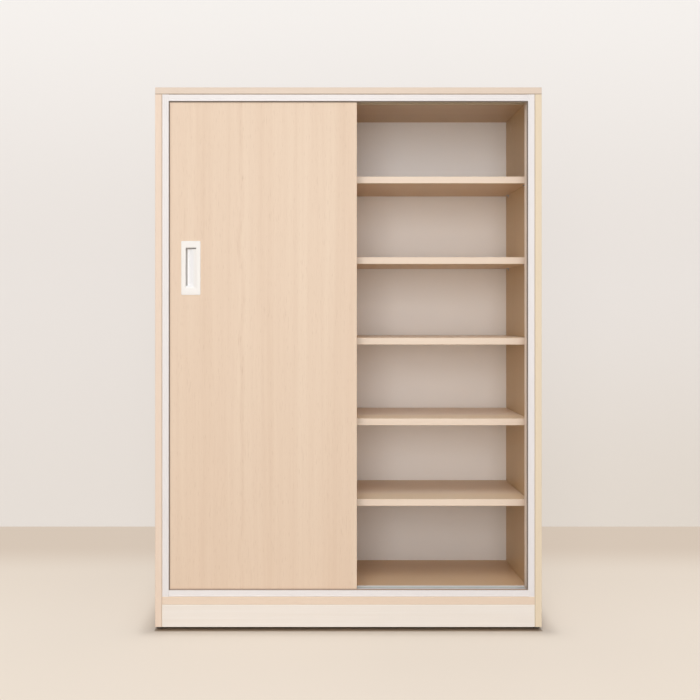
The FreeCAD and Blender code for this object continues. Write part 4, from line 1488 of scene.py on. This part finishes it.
def add_area_lamp(name, place, aim_at, across, power):
    """Square soft lamp at a place, pointing at another."""
    lamp = bpy.data.lights.new(name, "AREA")
    lamp.shape = "SQUARE"
    lamp.size = across
    lamp.energy = power
    thing = bpy.data.objects.new(name, lamp)
    thing.location = place
    thing.rotation_euler = (place - aim_at).to_track_quat("Z", "Y").to_euler()
    thing.visible_camera = False
    bpy.context.scene.collection.objects.link(thing)


def plane(name, corners):
    """Flat sheet between corners."""
    mesh = bpy.data.meshes.new(name)
    mesh.from_pydata(corners, [], [range(len(corners))])
    thing = linked(name, mesh)
    return thing


def distance_from_case(finish):
    """How far a place on the floor is from the ground that the cabinet covers."""
    low, high = CAD_BOX
    apart = [
        finish.math("MAXIMUM", abs(finish.place.part(axis)) - max(-low[axis], high[axis]))
        for axis in (X, Y)
    ]
    return finish.math("SQRT", apart[0] * apart[0] + apart[1] * apart[1])


def add_floor():
    """Broad pale floor, which fades into the surroundings far from the cabinet."""
    floor = plane("floor", [(-FAR, -FAR, 0), (FAR, -FAR, 0), (FAR, FAR, 0), (-FAR, FAR, 0)])
    finish = Finish("pale_floor")
    clouds = finish.noise(finish.place, 0.7)
    base = stage().floor
    painted_shadow, by_wall = (0.58, 0.5, 0.42), (0.78, 0.727, 0.683)
    distance = distance_from_case(finish)
    paint = finish.mix((clouds * 0.6).kept(), base, dimmed(base, 0.93))
    # Painted shadow: the floor under the cabinet is darker
    paint = finish.mix(1 - distance.step(0.0, 0.004), paint, dimmed(base, *painted_shadow))
    matt = finish.node("ShaderNodeBsdfPrincipled", {}, {
        "Base Color": paint, "Roughness": 0.5, "Specular IOR Level": 0.2,
    })
    # For the camera, the open floor is partly its own plain colour, so that only near shadows stay
    depth = finish.place.part(Y)
    dim = depth.step(0.35, 0.75) * 0.75 + depth.step(-0.25, 0.4) * 0.25
    glow = finish.node("ShaderNodeEmission", {}, {
        "Color": finish.mix(dim, base, dimmed(base, *by_wall)), "Strength": 1.2,
    })
    open_floor = sum(
        distance.step(0.0, reach) * share for reach, share in ((0.06, 0.7), (0.12, 0.2), (0.6, 0.1))
    )
    rays = finish.node("ShaderNodeLightPath", {}, {}, "Is Camera Ray")
    matt = finish.node("ShaderNodeMixShader", {}, {0: rays * open_floor * 0.68, 1: matt, 2: glow})
    far = finish.vector("LENGTH", finish.place, (0, 0, 0), "Value").step(FAR / 2, FAR - 0.5)
    clear = finish.node("ShaderNodeBsdfTransparent", {}, {})
    blend = finish.node("ShaderNodeMixShader", {}, {0: far, 1: matt, 2: clear})
    finish.node("ShaderNodeOutputMaterial", {}, {"Surface": blend})
    floor.data.materials.append(finish.material)


def add_wall():
    """Pale wall behind the cabinet, with painted shade low down, deepest to the right for the cabinet's
    shadow, and painted light high up. Only direct looks at its front see it, so it takes no light away.
    """
    tone = stage()
    place, half_width, height = tone.wall_place, 7.0, 4.0
    wall = plane("wall", [
        (-half_width, place, 0), (half_width, place, 0),
        (half_width, place, height), (-half_width, place, height),
    ])
    finish = Finish("pale_wall")
    paint = finish.node("ShaderNodeBsdfDiffuse", {}, {"Color": (*tone.wall, 1.0)})
    across, up = finish.place.part(X), finish.place.part(Z)
    low = 1 - up.step(0.0, 1.0)
    # Painted shade low on the wall, deepest to the right for the cabinet's shadow, then painted light high
    # up
    tint = finish.mix(across.step(-1.2, 2.0) * low * 0.6 + low * 0.4, tone.wall, tone.wall_painted_shade)
    tint = finish.mix(up.step(1.0, 2.3), tint, tone.wall_painted_light)
    glow = finish.node("ShaderNodeEmission", {}, {"Color": tint, "Strength": 1.0})
    solid = finish.node("ShaderNodeMixShader", {}, {0: 0.75, 1: paint, 2: glow})
    rays = finish.node("ShaderNodeLightPath", {}, {}, "Is Camera Ray")
    front = 1 - finish.node("ShaderNodeNewGeometry", {}, {}, "Backfacing")
    clear = finish.node("ShaderNodeBsdfTransparent", {}, {})
    blend = finish.node("ShaderNodeMixShader", {}, {0: rays * front, 1: clear, 2: solid})
    finish.node("ShaderNodeOutputMaterial", {}, {"Surface": blend})
    wall.data.materials.append(finish.material)


def set_world():
    """Even light from all round, and a pale look for the camera, glossy faces and clear ones."""
    world = bpy.data.worlds.new("pale_surroundings")
    world.use_nodes = True
    world.node_tree.nodes.clear()
    graph = Graph(world.node_tree)
    look = graph.node("ShaderNodeBackground", {}, {"Color": (*stage().wall, 1.0), "Strength": 1.0})
    light = graph.node("ShaderNodeBackground", {}, {
        "Color": (1.0, 1.0, 1.0, 1.0), "Strength": stage().fill,
    })
    seen = sum(
        graph.node("ShaderNodeLightPath", {}, {}, name)
        for name in ("Is Camera Ray", "Is Glossy Ray", "Is Transmission Ray")
    ).kept()
    blend = graph.node("ShaderNodeMixShader", {}, {0: seen, 1: light, 2: look})
    graph.node("ShaderNodeOutputWorld", {}, {"Surface": blend})
    bpy.context.scene.world = world


def set_camera():
    """Level camera in front of the cabinet, a little to its left."""
    lens = bpy.data.cameras.new("camera")
    lens.lens = stage().focal_length
    lens.sensor_width = SENSOR_WIDTH
    lens.shift_x, lens.shift_y = LENS_SHIFT
    camera = bpy.data.objects.new("camera", lens)
    camera.location = CAMERA_PLACE
    camera.rotation_euler = (QUARTER_TURN, 0, 0)
    bpy.context.scene.collection.objects.link(camera)
    bpy.context.scene.camera = camera


def set_stage():
    """Floor, wall, lamps, surroundings and camera."""
    add_floor()
    add_wall()
    centre = Vector((0, 0, 0.5))
    sideways, rise, distance = math.radians(5), math.radians(10), 7.0
    towards = Vector((
        -math.sin(sideways) * math.cos(rise), -math.cos(sideways) * math.cos(rise), math.sin(rise),
    ))
    key_width, top_width = 3.5, 3.6
    top_place = Vector((-0.7, -7.1, 9.2))
    add_area_lamp("key_lamp", centre + towards * distance, centre, key_width, stage().key_power)
    add_area_lamp("top_lamp", top_place, centre, top_width, stage().top_power)
    set_world()
    set_camera()
    bpy.context.scene.view_settings.view_transform = "Standard"


# The add-on


class CABINET_OT_case_boards(bpy.types.Operator):
    """Finish the boards of the case, the shelves, the plinths and the back"""
    bl_idname = "cabinet.case_boards"
    bl_label = "Case boards"

    def execute(self, context):
        case_boards()
        return {"FINISHED"}


class CABINET_OT_door_boards(bpy.types.Operator):
    """Finish the doors and their edging"""
    bl_idname = "cabinet.door_boards"
    bl_label = "Doors"

    def execute(self, context):
        door_boards()
        return {"FINISHED"}


class CABINET_OT_door_frame(bpy.types.Operator):
    """Draw the tracks and jambs of the door frame along their runs"""
    bl_idname = "cabinet.door_frame"
    bl_label = "Door frame"

    def execute(self, context):
        door_frame()
        return {"FINISHED"}


class CABINET_OT_screws(bpy.types.Operator):
    """Set threaded screws in the frame, the feet and the doors"""
    bl_idname = "cabinet.screws"
    bl_label = "Screws"

    def execute(self, context):
        all_screws()
        return {"FINISHED"}


class CABINET_OT_flush_pulls(bpy.types.Operator):
    """Mould a flush pull for each door"""
    bl_idname = "cabinet.flush_pulls"
    bl_label = "Flush pulls"

    def execute(self, context):
        flush_pulls()
        return {"FINISHED"}


class CABINET_OT_rollers_and_guides(bpy.types.Operator):
    """Turn the wheels, and finish their housings, their axles and the top guides"""
    bl_idname = "cabinet.rollers_and_guides"
    bl_label = "Rollers and guides"

    def execute(self, context):
        rollers_and_guides()
        return {"FINISHED"}


class CABINET_OT_shelf_pins(bpy.types.Operator):
    """Set the bracketed pins under the shelves"""
    bl_idname = "cabinet.shelf_pins"
    bl_label = "Shelf pins"

    def execute(self, context):
        shelf_pins()
        return {"FINISHED"}


class CABINET_OT_fittings(bpy.types.Operator):
    """Finish the cams and bolts, and set their caps and the dowels"""
    bl_idname = "cabinet.fittings"
    bl_label = "Board fittings"

    def execute(self, context):
        fittings()
        return {"FINISHED"}


class CABINET_OT_bumpers(bpy.types.Operator):
    """Set the ribbed bumpers in the jambs, and finish the dust seals"""
    bl_idname = "cabinet.bumpers"
    bl_label = "Bumpers and seals"

    def execute(self, context):
        door_bumpers()
        dust_seals()
        return {"FINISHED"}


class CABINET_OT_feet(bpy.types.Operator):
    """Finish the feet"""
    bl_idname = "cabinet.feet"
    bl_label = "Feet"

    def execute(self, context):
        floor_feet()
        return {"FINISHED"}


class CABINET_OT_stage(bpy.types.Operator):
    """Set the floor, the wall, the lamps and the camera"""
    bl_idname = "cabinet.stage"
    bl_label = "Stage"

    def execute(self, context):
        set_stage()
        return {"FINISHED"}


OPERATORS = (
    CABINET_OT_case_boards, CABINET_OT_door_boards, CABINET_OT_door_frame, CABINET_OT_screws,
    CABINET_OT_flush_pulls, CABINET_OT_rollers_and_guides, CABINET_OT_shelf_pins, CABINET_OT_fittings,
    CABINET_OT_bumpers, CABINET_OT_feet, CABINET_OT_stage,
)


class CABINET_PT_panel(bpy.types.Panel):
    """Cabinet pieces, in the order in which they are made"""
    bl_idname = "CABINET_PT_panel"
    bl_label = "Sliding Door Cabinet"
    bl_space_type = "VIEW_3D"
    bl_region_type = "UI"
    bl_category = "Cabinet"

    def draw(self, context):
        for kind in OPERATORS:
            self.layout.operator(kind.bl_idname)
        for group in GROUPS:
            box = self.layout.box()
            values = getattr(context.scene, group)
            for name in values.bl_rna.properties.keys():
                if name not in ("rna_type", "name"):
                    box.prop(values, name)


GROUPS = {
    "cabinet_colours": CabinetColours,
    "cabinet_sizes": CabinetSizes,
    "cabinet_stage": CabinetStage,
}
CLASSES = (*GROUPS.values(), *OPERATORS, CABINET_PT_panel)


def register():
    """Make the classes and their values known to Blender."""
    for kind in CLASSES:
        bpy.utils.register_class(kind)
    for name, kind in GROUPS.items():
        setattr(bpy.types.Scene, name, PointerProperty(type=kind))


def unregister():
    """Take the values and the classes away again."""
    for name in GROUPS:
        delattr(bpy.types.Scene, name)
    for kind in reversed(CLASSES):
        bpy.utils.unregister_class(kind)


def main():
    """Finish every piece in order."""
    register()
    for kind in OPERATORS:
        group, work = kind.bl_idname.split(".")
        getattr(getattr(bpy.ops, group), work)()


if __name__ == "__main__":
    main()
